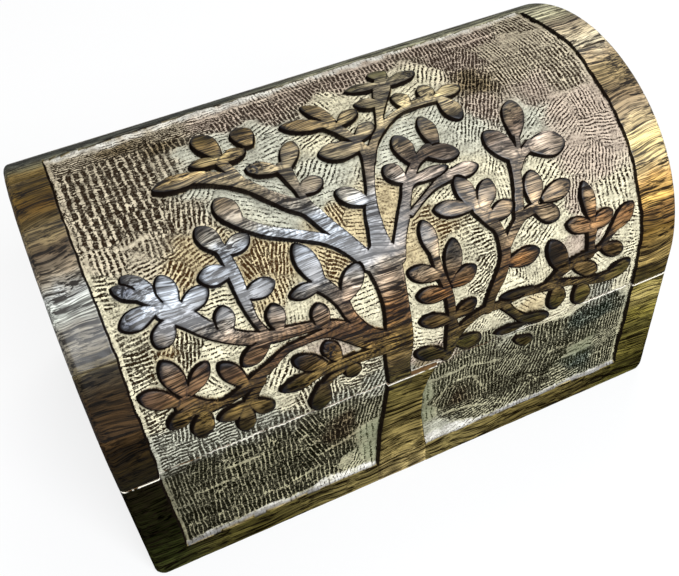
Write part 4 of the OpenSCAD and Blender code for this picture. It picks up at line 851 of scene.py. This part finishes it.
def finish_mesh(name, points, quads, flats, colours):
    """A closed mesh in metres: smooth quads with painted attributes, and flat many-cornered faces,
    which have the second material."""
    mesh = bpy.data.meshes.new(name)
    loops = np.concatenate([quads.ravel()] + [np.asarray(f) for f in flats])
    sizes = np.concatenate([np.full(len(quads), 4), [len(f) for f in flats]]).astype(np.int32)
    mesh.vertices.add(len(points))
    mesh.vertices.foreach_set("co", (points * MM).astype(np.float32).ravel())
    mesh.loops.add(len(loops))
    mesh.loops.foreach_set("vertex_index", loops.astype(np.int32))
    mesh.polygons.add(len(sizes))
    mesh.polygons.foreach_set("loop_start", (np.cumsum(sizes) - sizes).astype(np.int32))
    mesh.polygons.foreach_set("use_smooth", sizes == 4)
    mesh.polygons.foreach_set("material_index", (sizes != 4).astype(np.int32))
    for label, values in colours.items():
        paint = mesh.color_attributes.new(label, "FLOAT_COLOR", "POINT")
        rgba = np.ones((len(points), 4), np.float32)
        rgba[:, :3] = values
        paint.data.foreach_set("color", rgba.ravel())
    mesh.update(calc_edges=True)
    mesh.validate()
    piece = bpy.data.objects.new(name, mesh)
    bpy.context.scene.collection.objects.link(piece)
    return piece


# Columns of a carved board's mesh: along its end, round its corner, and over each border.
END_COLUMNS, BEND_COLUMNS, LEFT_COLUMNS, RIGHT_COLUMNS = 4, 6, 24, 27
# Where the rounding of a bottom corner runs out, in from the end.
ROUND_TO, ROUND_FROM = 9, 2.5


def columns(fine):
    """Columns of a carved board from its left back edge round the front to its right back edge:
    x, share of the thickness, inset from the face, and the way in (along x, inwards). Also the number
    of the first column on the face, and how many lie there."""
    left = np.linspace(CORNER_R, PANEL_LEFT - 1, LEFT_COLUMNS)[:-1]
    panel = np.arange(PANEL_LEFT - 1, PANEL_RIGHT + 1.2, fine)
    right = np.linspace(panel[-1], BOX_L - CORNER_R, RIGHT_COLUMNS)[1:]
    face_x = np.concatenate([left, panel, right])
    # The end, then the rounded corner.
    thick = np.concatenate([np.linspace(1, 0, END_COLUMNS + 1)[:-1], np.zeros(BEND_COLUMNS)])
    corner = np.radians(np.linspace(90, 0, BEND_COLUMNS + 1))[:-1]
    bend = np.concatenate([np.full(END_COLUMNS, np.pi / 2), corner])
    side_x, inset = CORNER_R - CORNER_R * np.sin(bend), CORNER_R - CORNER_R * np.cos(bend)
    side = [side_x, thick, inset, np.sin(bend), np.cos(bend)]
    nothing = np.zeros(len(face_x))
    face = [face_x, nothing, nothing, nothing, nothing + 1]
    far_side = [v[::-1] for v in side]
    far_side[0], far_side[3] = BOX_L - far_side[0], -far_side[3]
    return [np.concatenate(v) for v in zip(side, face, far_side)], (len(bend), len(face_x))


def carved_board(name, rows, thickness, wrap, wear, fine):
    """A board or stave as a closed solid, its face carved. wrap(s, inset) gives y and z."""
    (cx, share, inset, in_x, in_face), (first, count) = columns(fine)
    last = first + count
    x, s = np.meshgrid(cx, rows)
    height, colours = relief(x[:, first:last], s[:, first:last])
    depth = np.repeat(wear[:, None], len(cx), 1)
    depth[:, first:last] += -height
    depth[:, :first] += depth[:, first : first + 1] * 0.5
    depth[:, last:] += depth[:, last - 1 : last] * 0.5
    px = x + in_x * depth
    y, z = wrap(s, inset + share * (thickness[:, None] - CORNER_R) + in_face * depth)
    if rows[0] == 0:
        # The two bottom corners of the base are rounded off through the board.
        above = FOOT_R - z.clip(0, FOOT_R)
        cut_in = np.where(z < FOOT_R, FOOT_R - np.sqrt((FOOT_R**2 - above**2).clip(0)), 0)
        px += cut_in * smooth(ROUND_TO, ROUND_FROM, px)
        px -= cut_in * smooth(BOX_L - ROUND_TO, BOX_L - ROUND_FROM, px)
    points = np.stack([px - BOX_L / 2, y, z], -1).reshape(-1, 3)

    index = np.arange(x.size).reshape(x.shape)
    quads = np.stack([index[:-1, :-1], index[:-1, 1:], index[1:, 1:], index[1:, :-1]], -1).reshape(-1, 4)
    flats = [index[0][::-1], index[-1], np.concatenate([index[:, 0], index[::-1, -1]])]
    for label, values in colours.items():
        ends = np.repeat(values[:, :1], first, 1), np.repeat(values[:, -1:], len(cx) - last, 1)
        colours[label] = np.concatenate([ends[0], values, ends[1]], 1).reshape(x.size, -1)
    return finish_mesh(name, points, quads, flats, colours)


def shader_group(name, inputs, outputs):
    """An empty shader node group with named sockets. An input without a number is a vector."""
    group = bpy.data.node_groups.new(name, "ShaderNodeTree")
    for label, value in inputs.items():
        kind = "NodeSocketVector" if value is None else "NodeSocketFloat"
        socket = group.interface.new_socket(label, in_out="INPUT", socket_type=kind)
        if value is not None:
            socket.default_value = value
    for label in outputs:
        group.interface.new_socket(label, in_out="OUTPUT", socket_type="NodeSocketFloat")
    return group, group.nodes.new("NodeGroupInput"), group.nodes.new("NodeGroupOutput")


def vector_node(tree, operation, a, b):
    return node(tree, "ShaderNodeVectorMath", {0: a, 1: b}, operation=operation).outputs[0]


def noise(tree, place, scale, detail, roughness=0.5):
    """A noise pattern, from 0 to 1 about 0.5."""
    values = {"Vector": place, "Scale": scale, "Detail": detail, "Roughness": roughness}
    return node(tree, "ShaderNodeTexNoise", values).outputs["Fac"]


def ramp(tree, value, low, high):
    """Value brought to 0 at low and 1 at high, smoothly."""
    values = {"Value": value, "From Min": low, "From Max": high}
    return node(tree, "ShaderNodeMapRange", values, interpolation_type="SMOOTHSTEP").outputs["Result"]


def mix_colour(tree, share, a, b):
    """Colour a, with a share of colour b."""
    return node(tree, "ShaderNodeMix", {0: share, 6: a, 7: b}, data_type="RGBA").outputs[2]


# Wood grain along X: broad bands, dark and light lines, and short dark pores, in metres. Each board
# has its own stretch of it.
grain, into, out = shader_group(
    "wood_grain", {"Vector": None, "Board": 0.0}, ["Band", "Streak", "Pores", "Height"])
shift = node(grain, "ShaderNodeVectorMath", {0: (0.31, 0.17, 0.23)}, operation="SCALE")
grain.links.new(into.outputs["Board"], shift.inputs["Scale"])
placed = vector_node(grain, "ADD", into.outputs["Vector"], shift.outputs[0])
drift = node(grain, "ShaderNodeTexNoise", {"Vector": placed, "Scale": 26.0, "Detail": 2.0}).outputs["Color"]
drift = vector_node(grain, "SUBTRACT", drift, (0.5, 0.5, 0.5))
drift = vector_node(grain, "MULTIPLY", drift, (0.0, 0.012, 0.012))
wandering = vector_node(grain, "ADD", placed, drift)
figures = {}
for label, stretch, detail, low, high in (
    ("Band", (15, 400, 400), 3.0, 0.38, 0.62),
    ("Streak", (42, 1400, 1400), 2.0, 0.44, 0.52),
    ("Pores", (120, 2600, 2600), 1.0, 0.52, 0.6),
):
    stretched = vector_node(grain, "MULTIPLY", wandering, stretch)
    figures[label] = noise(grain, stretched, 1.0, detail, 0.62)
    grain.links.new(ramp(grain, figures[label], low, high), out.inputs[label])
rough_height = sum_node(grain, "MULTIPLY", figures["Pores"], -0.6)
grain.links.new(sum_node(grain, "ADD", rough_height, figures["Streak"]), out.inputs["Height"])

# Gouge cuts. Where much is dark: thin limed ridges and rows on a dark ground. Where little is dark:
# short dark cuts in a limed ground. Places across and along are counted in cuts.
gouge, into, out = shader_group(
    "gouge_cuts",
    {"Across": 0.0, "Along": 0.0, "Share": 0.5, "Specks": 0.5, "Fibres": 0.5, "Strength": 1.0},
    ["Light"],
)


def from_middle(value):
    """0 in the middle of each step of a value and 1 at its ends."""
    part = sum_node(gouge, "SUBTRACT", sum_node(gouge, "FRACT", value), 0.5)
    return sum_node(gouge, "MULTIPLY", sum_node(gouge, "ABSOLUTE", part), 2.0)


def luck(i, j):
    """A fixed random share for each whole i and j."""
    cell = node(gouge, "ShaderNodeCombineXYZ", {0: i, 1: j}).outputs[0]
    return node(gouge, "ShaderNodeTexWhiteNoise", {"Vector": cell}, noise_dimensions="2D").outputs["Value"]


across, along, dark_share = (into.outputs[label] for label in ("Across", "Along", "Share"))
specks = sum_node(gouge, "SUBTRACT", ramp(gouge, into.outputs["Specks"], 0.40, 0.60), 0.5)
dark_ground = ramp(gouge, dark_share, 0.42, 0.54)
ridge, cut = sum_node(gouge, "ROUND", across), sum_node(gouge, "FLOOR", across)
stroke = sum_node(gouge, "ADD", along, luck(ridge, 0.5))
loose = sum_node(gouge, "SUBTRACT", 1.15, dark_ground)
row = sum_node(gouge, "MULTIPLY_ADD", luck(cut, 1.5), loose, along)
over = sum_node(gouge, "SUBTRACT", from_middle(across), dark_share)
over = sum_node(gouge, "MULTIPLY_ADD", specks, 0.22, over)
ends = sum_node(gouge, "MULTIPLY_ADD", specks, 0.25, from_middle(row))
# On dark ground: ridges between the cuts, some fainter, and rows where the strokes end.
ridges = sum_node(gouge, "MULTIPLY", ramp(gouge, over, 0.0, 0.2), ramp(gouge, from_middle(stroke), 1.0, 0.8))
faint = ramp(gouge, luck(ridge, sum_node(gouge, "FLOOR", stroke)), -0.4, 0.5)
ridges = sum_node(gouge, "MULTIPLY", ridges, faint)
chosen = ramp(gouge, luck(cut, sum_node(gouge, "ROUND", row)), 0.35, 0.9)
rows = sum_node(gouge, "MULTIPLY", ramp(gouge, ends, 0.76, 1.0), chosen)
ridges_and_rows = sum_node(gouge, "MAXIMUM", ridges, sum_node(gouge, "MULTIPLY", rows, 0.85))
on_dark = sum_node(gouge, "ADD", ridges_and_rows, 0.06)
# On light ground: the cuts themselves, some fainter.
cuts = sum_node(gouge, "MULTIPLY", ramp(gouge, over, 0.16, -0.12), ramp(gouge, ends, 1.0, 0.72))
faint = ramp(gouge, luck(cut, sum_node(gouge, "FLOOR", row)), -0.5, 0.6)
cuts = sum_node(gouge, "MULTIPLY", cuts, faint)
on_light = sum_node(gouge, "SUBTRACT", 0.85, sum_node(gouge, "MULTIPLY", cuts, into.outputs["Strength"]))
light = node(gouge, "ShaderNodeMix", {0: dark_ground, 2: on_light, 3: on_dark}, data_type="FLOAT").outputs[0]
light = sum_node(gouge, "MULTIPLY_ADD", specks, 0.34, light)
fibres = sum_node(gouge, "SUBTRACT", into.outputs["Fibres"], 0.6)
light = sum_node(gouge, "MULTIPLY_ADD", fibres, 0.24, light)
gouge.links.new(ramp(gouge, light, 0.02, 1.04), out.inputs["Light"])


# How worn the arrises of the seam are, from 0 to 1, as [x, share].
SEAM_WEAR = [
    [0, 1], [13, 1], [15, 0.1], [27, 0.1], [30, 0.9], [61, 0.9], [64, 0.2], [68, 0.2], [71, 0.8],
    [82, 0.8], [86, 0.4], [92, 0.9], [110, 0.9], [114, 0.05], [136, 0.05], [139, 0.6], [152, 0.6],
    [154, 0.2], [166, 0.2], [169, 1], [203, 1],
]

# Sizes of the specks, patches and fields in which lime and soot lie, as noise scales.
SPECK_SCALE, PATCH_SCALE, FIELD_SCALE = 1700.0, 330.0, 110.0
# Colours of the soot, whose faint blue is a painted sheen of the sky, of the lines burnt round what
# stands, which also carry painted shadow, and of the pores, and of bare wood.
SOOT_AND_SHEEN, BURNT_LINE_AND_SHADOW = (0.007, 0.007, 0.009, 1), (0.006, 0.004, 0.003, 1)
PORES, PLAIN_PORES = (0.010, 0.007, 0.004, 1), (0.012, 0.008, 0.005, 1)
RAW_WOOD = "EAE4D4"


def along_seam(tree, place):
    """The wear of the seam at a place."""
    x = node(tree, "ShaderNodeSeparateXYZ", {0: place}).outputs["X"]
    made = node(tree, "ShaderNodeValToRGB", {"Fac": sum_node(tree, "MULTIPLY_ADD", x, 1 / (BOX_L * MM), 0.5)})
    points = made.color_ramp.elements
    for number, (x, share) in enumerate(SEAM_WEAR):
        point = points[number] if number < 2 else points.new(1.0)
        point.position = x / BOX_L
        point.color = (share, share, share, 1)
    return made.outputs["Color"]


def off_seam(tree, z):
    """Distance of a height z from the seam."""
    return sum_node(tree, "ABSOLUTE", sum_node(tree, "SUBTRACT", z, SEAM * MM))


def wood_figure(tree, place, board):
    """The grain of one board: its Band, Streak, Pores and Height."""
    made = node(tree, "ShaderNodeGroup", {}, node_tree=grain)
    tree.links.new(place, made.inputs["Vector"])
    made.inputs["Board"].default_value = board
    return made.outputs


def carved_wood(name, board, gloss):
    """Stained, scorched and limed carving: colours and marks come from the mesh, grain from the shader."""
    material, tree = empty_material(name)
    place = node(tree, "ShaderNodeTexCoord").outputs["Object"]
    figure = wood_figure(tree, place, board)
    painted = {
        label: node(tree, "ShaderNodeAttribute", attribute_name=label).outputs["Color"]
        for label in ("tone", "wash", "marks", "cuts")
    }
    inward, off_line_and_shadow, sooted = node(tree, "ShaderNodeSeparateColor", {0: painted["marks"]}).outputs
    across, along, share = node(tree, "ShaderNodeSeparateColor", {0: painted["cuts"]}).outputs
    speck = noise(tree, place, SPECK_SCALE, 1.0, 0.6)
    patch = noise(tree, place, PATCH_SCALE, 3.0)
    field = noise(tree, place, FIELD_SCALE, 2.0)
    raised = ramp(tree, inward, -0.22, -0.02)

    # Standing wood: light and dark grain, with short pores.
    banded = sum_node(tree, "MULTIPLY_ADD", figure["Band"], 0.6, -0.25)
    lighter = sum_node(tree, "MULTIPLY_ADD", figure["Streak"], 0.62, banded, clamp=True)
    wood = mix_colour(tree, lighter, painted["tone"], painted["wash"])
    wood = mix_colour(tree, sum_node(tree, "MULTIPLY", figure["Pores"], 0.65), wood, PORES)

    # Ground: gouge cuts, and lime rubbed thin in patches.
    strength = sum_node(tree, "MULTIPLY_ADD", ramp(tree, field, 0.4, 0.58), 0.8, 0.2)
    gouged = node(tree, "ShaderNodeGroup", {}, node_tree=gouge)
    for label, value in (
        ("Across", across), ("Along", along), ("Share", share),
        ("Specks", speck), ("Fibres", figure["Streak"]), ("Strength", strength),
    ):
        tree.links.new(value, gouged.inputs[label])
    rubbed = sum_node(tree, "MULTIPLY_ADD", ramp(tree, patch, 0.36, 0.6), 0.28, 0.58)
    rubbed = sum_node(tree, "MULTIPLY_ADD", ramp(tree, field, 0.38, 0.62), 0.26, rubbed)
    light = sum_node(tree, "MULTIPLY", gouged.outputs["Light"], rubbed)
    ground = mix_colour(tree, light, painted["tone"], painted["wash"])
    coloured = mix_colour(tree, raised, ground, wood)

    # Scorched tips, black lines that are burnt and partly painted shadow, and the worn arris along the seam.
    patchy = sum_node(tree, "MULTIPLY_ADD", patch, 0.9, 0.6)
    soot = sum_node(tree, "MULTIPLY", sooted, patchy, clamp=True)
    coloured = mix_colour(tree, soot, coloured, SOOT_AND_SHEEN)
    edge = ramp(tree, sum_node(tree, "MULTIPLY_ADD", patch, -0.45, off_line_and_shadow), 0.2, 0.04)
    coloured = mix_colour(tree, sum_node(tree, "MULTIPLY", edge, 0.97), coloured, BURNT_LINE_AND_SHADOW)
    z = node(tree, "ShaderNodeSeparateXYZ", {0: place}).outputs["Z"]
    worn = sum_node(
        tree, "MULTIPLY", ramp(tree, off_seam(tree, z), 0.00056, 0.0003), ramp(tree, patch, 0.34, 0.46))
    worn = sum_node(tree, "MULTIPLY", worn, along_seam(tree, place))
    coloured = mix_colour(tree, worn, coloured, (*colour(RAW_WOOD), 1))

    # The ground is dull and rough, and the standing wood is polished, but not over a black line, burnt or
    # painted shadow alike.
    dull = sum_node(tree, "MULTIPLY_ADD", raised, -0.36, 0.78)
    roughness = sum_node(tree, "MULTIPLY_ADD", figure["Streak"], -0.1, dull)
    on_wood, on_ground = (sum_node(tree, "MULTIPLY_ADD", raised, *v) for v in ((0.7, 0.3), (-0.8, 0.8)))
    height = sum_node(tree, "MULTIPLY", figure["Height"], on_wood)
    height = sum_node(tree, "MULTIPLY_ADD", light, on_ground, height)
    height = sum_node(tree, "MULTIPLY_ADD", speck, 0.5, height)
    bump = node(tree, "ShaderNodeBump", {"Height": height, "Distance": 0.0003, "Strength": 0.9}).outputs[0]
    polished = sum_node(tree, "MULTIPLY", raised, sum_node(tree, "SUBTRACT", 1.0, edge))
    shine = sum_node(tree, "MULTIPLY", polished, gloss)
    surface = node(tree, "ShaderNodeBsdfPrincipled", {
        "Base Color": coloured, "Roughness": roughness, "Normal": bump, "Coat Weight": shine,
        "Specular IOR Level": 0.0, "Coat Roughness": 0.36,
    })
    node(tree, "ShaderNodeOutputMaterial", {"Surface": surface.outputs[0]})
    return material


def plain_wood(name, board, light, dark, gloss=0.2, grain_way="X", scorched=0.8):
    """Stained board: two tones along the grain, pores, scorched arrises and a soft polish."""
    material, tree = empty_material(name)
    place = node(tree, "ShaderNodeTexCoord").outputs["Object"]
    x, y, z = node(tree, "ShaderNodeSeparateXYZ", {0: place}).outputs
    reach, edge_at = x, BOX_L / 2 * MM
    if grain_way == "Y":
        place = node(tree, "ShaderNodeCombineXYZ", {0: y, 1: x, 2: z}).outputs[0]
        reach, edge_at = y, HALF_W * MM
    figure = wood_figure(tree, place, board)
    banded = sum_node(tree, "MULTIPLY", figure["Band"], 0.55)
    lighter = sum_node(tree, "MULTIPLY_ADD", figure["Streak"], 0.45, banded)
    coloured = mix_colour(tree, lighter, (*colour(dark), 1), (*colour(light), 1))
    blotch = ramp(tree, noise(tree, place, 22.0, 3.0), 0.35, 0.65)
    clouded = sum_node(tree, "MULTIPLY", blotch, 0.55)
    coloured = mix_colour(tree, clouded, coloured, (*(colour(dark) * 0.45), 1))
    coloured = mix_colour(tree, sum_node(tree, "MULTIPLY", figure["Pores"], 0.5), coloured, PLAIN_PORES)

    # Scorching along the ends, the foot and the seam.
    outer = ramp(tree, sum_node(tree, "ABSOLUTE", reach), edge_at - 0.017, edge_at)
    foot = ramp(tree, z, 0.013, 0.0)
    seam = ramp(tree, off_seam(tree, z), 0.009, 0.0)
    burnt = sum_node(tree, "MAXIMUM", outer, sum_node(tree, "MAXIMUM", foot, seam))
    burnt = sum_node(tree, "MULTIPLY", burnt, sum_node(tree, "MULTIPLY_ADD", blotch, 0.5, 0.5))
    burnt = sum_node(tree, "MULTIPLY", burnt, scorched)
    coloured = mix_colour(tree, burnt, coloured, (*(colour(dark) * 0.16), 1))
    roughness = sum_node(tree, "MULTIPLY_ADD", figure["Streak"], -0.12, 0.52)
    rough = {"Height": figure["Height"], "Distance": 0.0002, "Strength": 0.7}
    bump = node(tree, "ShaderNodeBump", rough).outputs[0]
    surface = node(tree, "ShaderNodeBsdfPrincipled", {
        "Base Color": coloured, "Roughness": roughness, "Normal": bump,
        "Coat Weight": gloss, "Coat Roughness": 0.3,
    })
    node(tree, "ShaderNodeOutputMaterial", {"Surface": surface.outputs[0]})
    return material


# Spacing of the rows and columns of the front board's mesh and of the staves', and how far wear
# has rounded the front board's foot, its seam edge and the staves' edges.
FRONT_ROW, FRONT_COLUMN, STAVE_ROW, STAVE_COLUMN = 0.35, 0.28, 0.3, 0.22
FOOT_WEAR, SEAM_EDGE_WEAR, STAVE_WEAR, WEAR_REACH = 0.4, 0.22, 0.2, 0.16


def fine_rows(start, end, step):
    """Heights of the rows of a board: even, with two close ones at each edge for its worn arris."""
    count = max(2, round((end - start - 0.7) / step))
    middle = np.linspace(start + 0.35, end - 0.35, count)
    return np.concatenate([[start, start + 0.12], middle, [end - 0.12, end]])


def arris(rows, at_start, at_end):
    """How far wear has rounded a board's two long edges."""
    return at_start * hump(rows - rows[0], WEAR_REACH) + at_end * hump(rows[-1] - rows, WEAR_REACH)


def upright(s, inset):
    """y and z of a point of the front board, an inset below its face."""
    return -HALF_W + inset, s + 0 * inset


low_rows = np.concatenate([[0, 0.15, 0.5], np.linspace(1, PANEL_BOTTOM - 1, 9)])
front_rows = np.concatenate([low_rows, fine_rows(PANEL_BOTTOM - 0.5, BASE_TOP, FRONT_ROW)])
front_thickness = np.full(len(front_rows), float(BOARD_T))
front_wear = arris(front_rows, FOOT_WEAR, SEAM_EDGE_WEAR)
front_board = carved_board("front_board", front_rows, front_thickness, upright, front_wear, FRONT_COLUMN)
inner_wood = plain_wood("inner_wood", 60, "9A7448", "5E4228", gloss=0.0, scorched=0.0)
front_board.data.materials.append(carved_wood("carved_front_wood", 1.0, 0.0))
front_board.data.materials.append(inner_wood)
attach(front_board, "base")
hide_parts("base_front_board")


# ---- Carved staves of the lid ----
# Six hardwood staves glued edge to edge over the end arches and planed round outside, then carved in
# one with the front board. Each is flat inside, and its own board gives it a grain of its own.
SPRING_Z, HAUNCH_R, HAUNCH_Y = 64.2, 57.3, 5.4
CROWN_R, CROWN_Z, CROWN_TURN = 68.1, 54.847, math.radians(60)
CROWN_S = SPRING_Z + HAUNCH_R * CROWN_TURN
STAVE_T = 10.5
STAVE_TURNS = [0, 14.3, 37.15, 60, 80, 100, 120]
STAVE_GLOSS = [0.05, 0.16, 0.62, 0.4, 0.2, 0.1]


def over_arch(s, inset):
    """y and z of a point of the lid, an inset below its outer face."""
    haunch = ((s - SPRING_Z) / HAUNCH_R).clip(0, CROWN_TURN)
    crown = CROWN_TURN + (s - CROWN_S).clip(0) / CROWN_R
    on_crown = s > CROWN_S
    haunch_y = -HAUNCH_Y - (HAUNCH_R - inset) * np.cos(haunch)
    haunch_z = SPRING_Z + (HAUNCH_R - inset) * np.sin(haunch)
    y = np.where(on_crown, -(CROWN_R - inset) * np.cos(crown), haunch_y)
    z = np.where(on_crown, CROWN_Z + (CROWN_R - inset) * np.sin(crown), haunch_z)
    return y, np.where(s < SPRING_Z, s + 0 * inset, z)


def s_of_turn(degrees):
    """How far up the tape a joint lies, from its turn round the arch."""
    turn = math.radians(degrees)
    return SPRING_Z + HAUNCH_R * min(turn, CROWN_TURN) + CROWN_R * max(turn - CROWN_TURN, 0)


def inner_corner(degrees):
    """y and z of a joint's inner edge."""
    return np.array(over_arch(np.array(s_of_turn(degrees)), np.array(STAVE_T)))


for k, (turn_0, turn_1) in enumerate(zip(STAVE_TURNS, STAVE_TURNS[1:]), start=1):
    rows = fine_rows(LID_FOOT if k == 1 else s_of_turn(turn_0), s_of_turn(turn_1), STAVE_ROW)
    # The inner face is one flat from joint to joint, so the thickness varies a little between.
    inner_0 = np.array([-INNER_Y, LID_FOOT]) if k == 1 else inner_corner(turn_0)
    inner_1 = inner_corner(turn_1)
    along = (inner_1 - inner_0) / np.hypot(*(inner_1 - inner_0))
    normal = np.array([-along[1], along[0]])
    face = np.array(over_arch(rows, 0 * rows)).T
    way = np.array(over_arch(rows, 0 * rows + 1)).T - face
    thickness = ((inner_0 - face) @ normal) / (way @ normal)
    wear = arris(rows, STAVE_WEAR, STAVE_WEAR)
    stave = carved_board("carved_stave_%d" % k, rows, thickness, over_arch, wear, STAVE_COLUMN)
    stave_wood = carved_wood("carved_stave_wood_%d" % k, 1.0 + 1.7 * k, STAVE_GLOSS[k - 1])
    stave.data.materials.append(stave_wood)
    stave.data.materials.append(inner_wood)
    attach(stave, "lid")
    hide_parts("lid_stave_%d" % k)


# ---- Plain boards: ends and back of the base, bottom, back staves and end arches ----
# Planed boards of the same wood, glued edge to face, stained, and scorched darker along the arrises.
# The bottom is let in between the others and was left unstained.
BOARDS = [
    ("base_back_board", "7A6038", "3C2C18"), ("base_end_left", "6E5632", "362814"),
    ("base_end_right", "86683E", "443018"), ("lid_stave_7", "64543A", "302A1E"),
    ("lid_stave_8", "7A5C38", "3A2818"), ("lid_stave_9", "74603C", "3A2E1A"),
    ("lid_end_left", "7C5A34", "3C2614"), ("lid_end_right", "80603A", "402A16"),
]


def dress(name, material, bevel=0.35):
    """Gives a CAD node its finish and softens its edges."""
    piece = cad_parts[name]
    piece.data.materials.clear()
    piece.data.materials.append(material)
    weld = piece.modifiers.new("weld", "WELD")
    weld.merge_threshold = 0.002 * MM
    soft = piece.modifiers.new("worn_arris", "BEVEL")
    soft.width = bevel * MM
    soft.segments = 2
    soft.limit_method = "ANGLE"
    soft.angle_limit = math.radians(32)
    soft.harden_normals = True


for number, (name, light, dark) in enumerate(BOARDS):
    way = "Y" if "_end_" in name else "X"
    dress(name, plain_wood("wood_" + name, 20 + 3.1 * number, light, dark, grain_way=way))
bare_wood = plain_wood("wood_bottom_board", 50, "A07C50", "6E4E2C", gloss=0.0, scorched=0.0)
dress("bottom_board", bare_wood, bevel=0.3)


# ---- Hinges ----
# Two small brass butt hinges, their leaves let into the back edges and held by countersunk screws.
# Each turns on a pin through its knuckles.
BRIGHT_BRASS, DULL_BRASS = (0.56, 0.38, 0.12, 1), (0.25, 0.16, 0.06, 1)
HINGE_PARTS = [
    "hinge_left_base_leaf", "hinge_right_base_leaf", "hinge_left_lid_leaf", "hinge_right_lid_leaf",
    "hinge_left_pin", "hinge_right_pin", "base_hinge_screws", "lid_hinge_screws",
]
brass, tree = empty_material("dull_brass")
place = node(tree, "ShaderNodeTexCoord").outputs["Object"]
tarnish = ramp(tree, noise(tree, place, 420.0, 4.0), 0.35, 0.7)
metal = mix_colour(tree, tarnish, BRIGHT_BRASS, DULL_BRASS)
roughness = sum_node(tree, "MULTIPLY_ADD", tarnish, 0.25, 0.3)
finish = {"Base Color": metal, "Roughness": roughness, "Metallic": 1.0}
surface = node(tree, "ShaderNodeBsdfPrincipled", finish)
node(tree, "ShaderNodeOutputMaterial", {"Surface": surface.outputs[0]})
for name in HINGE_PARTS:
    dress(name, brass, bevel=0.08)
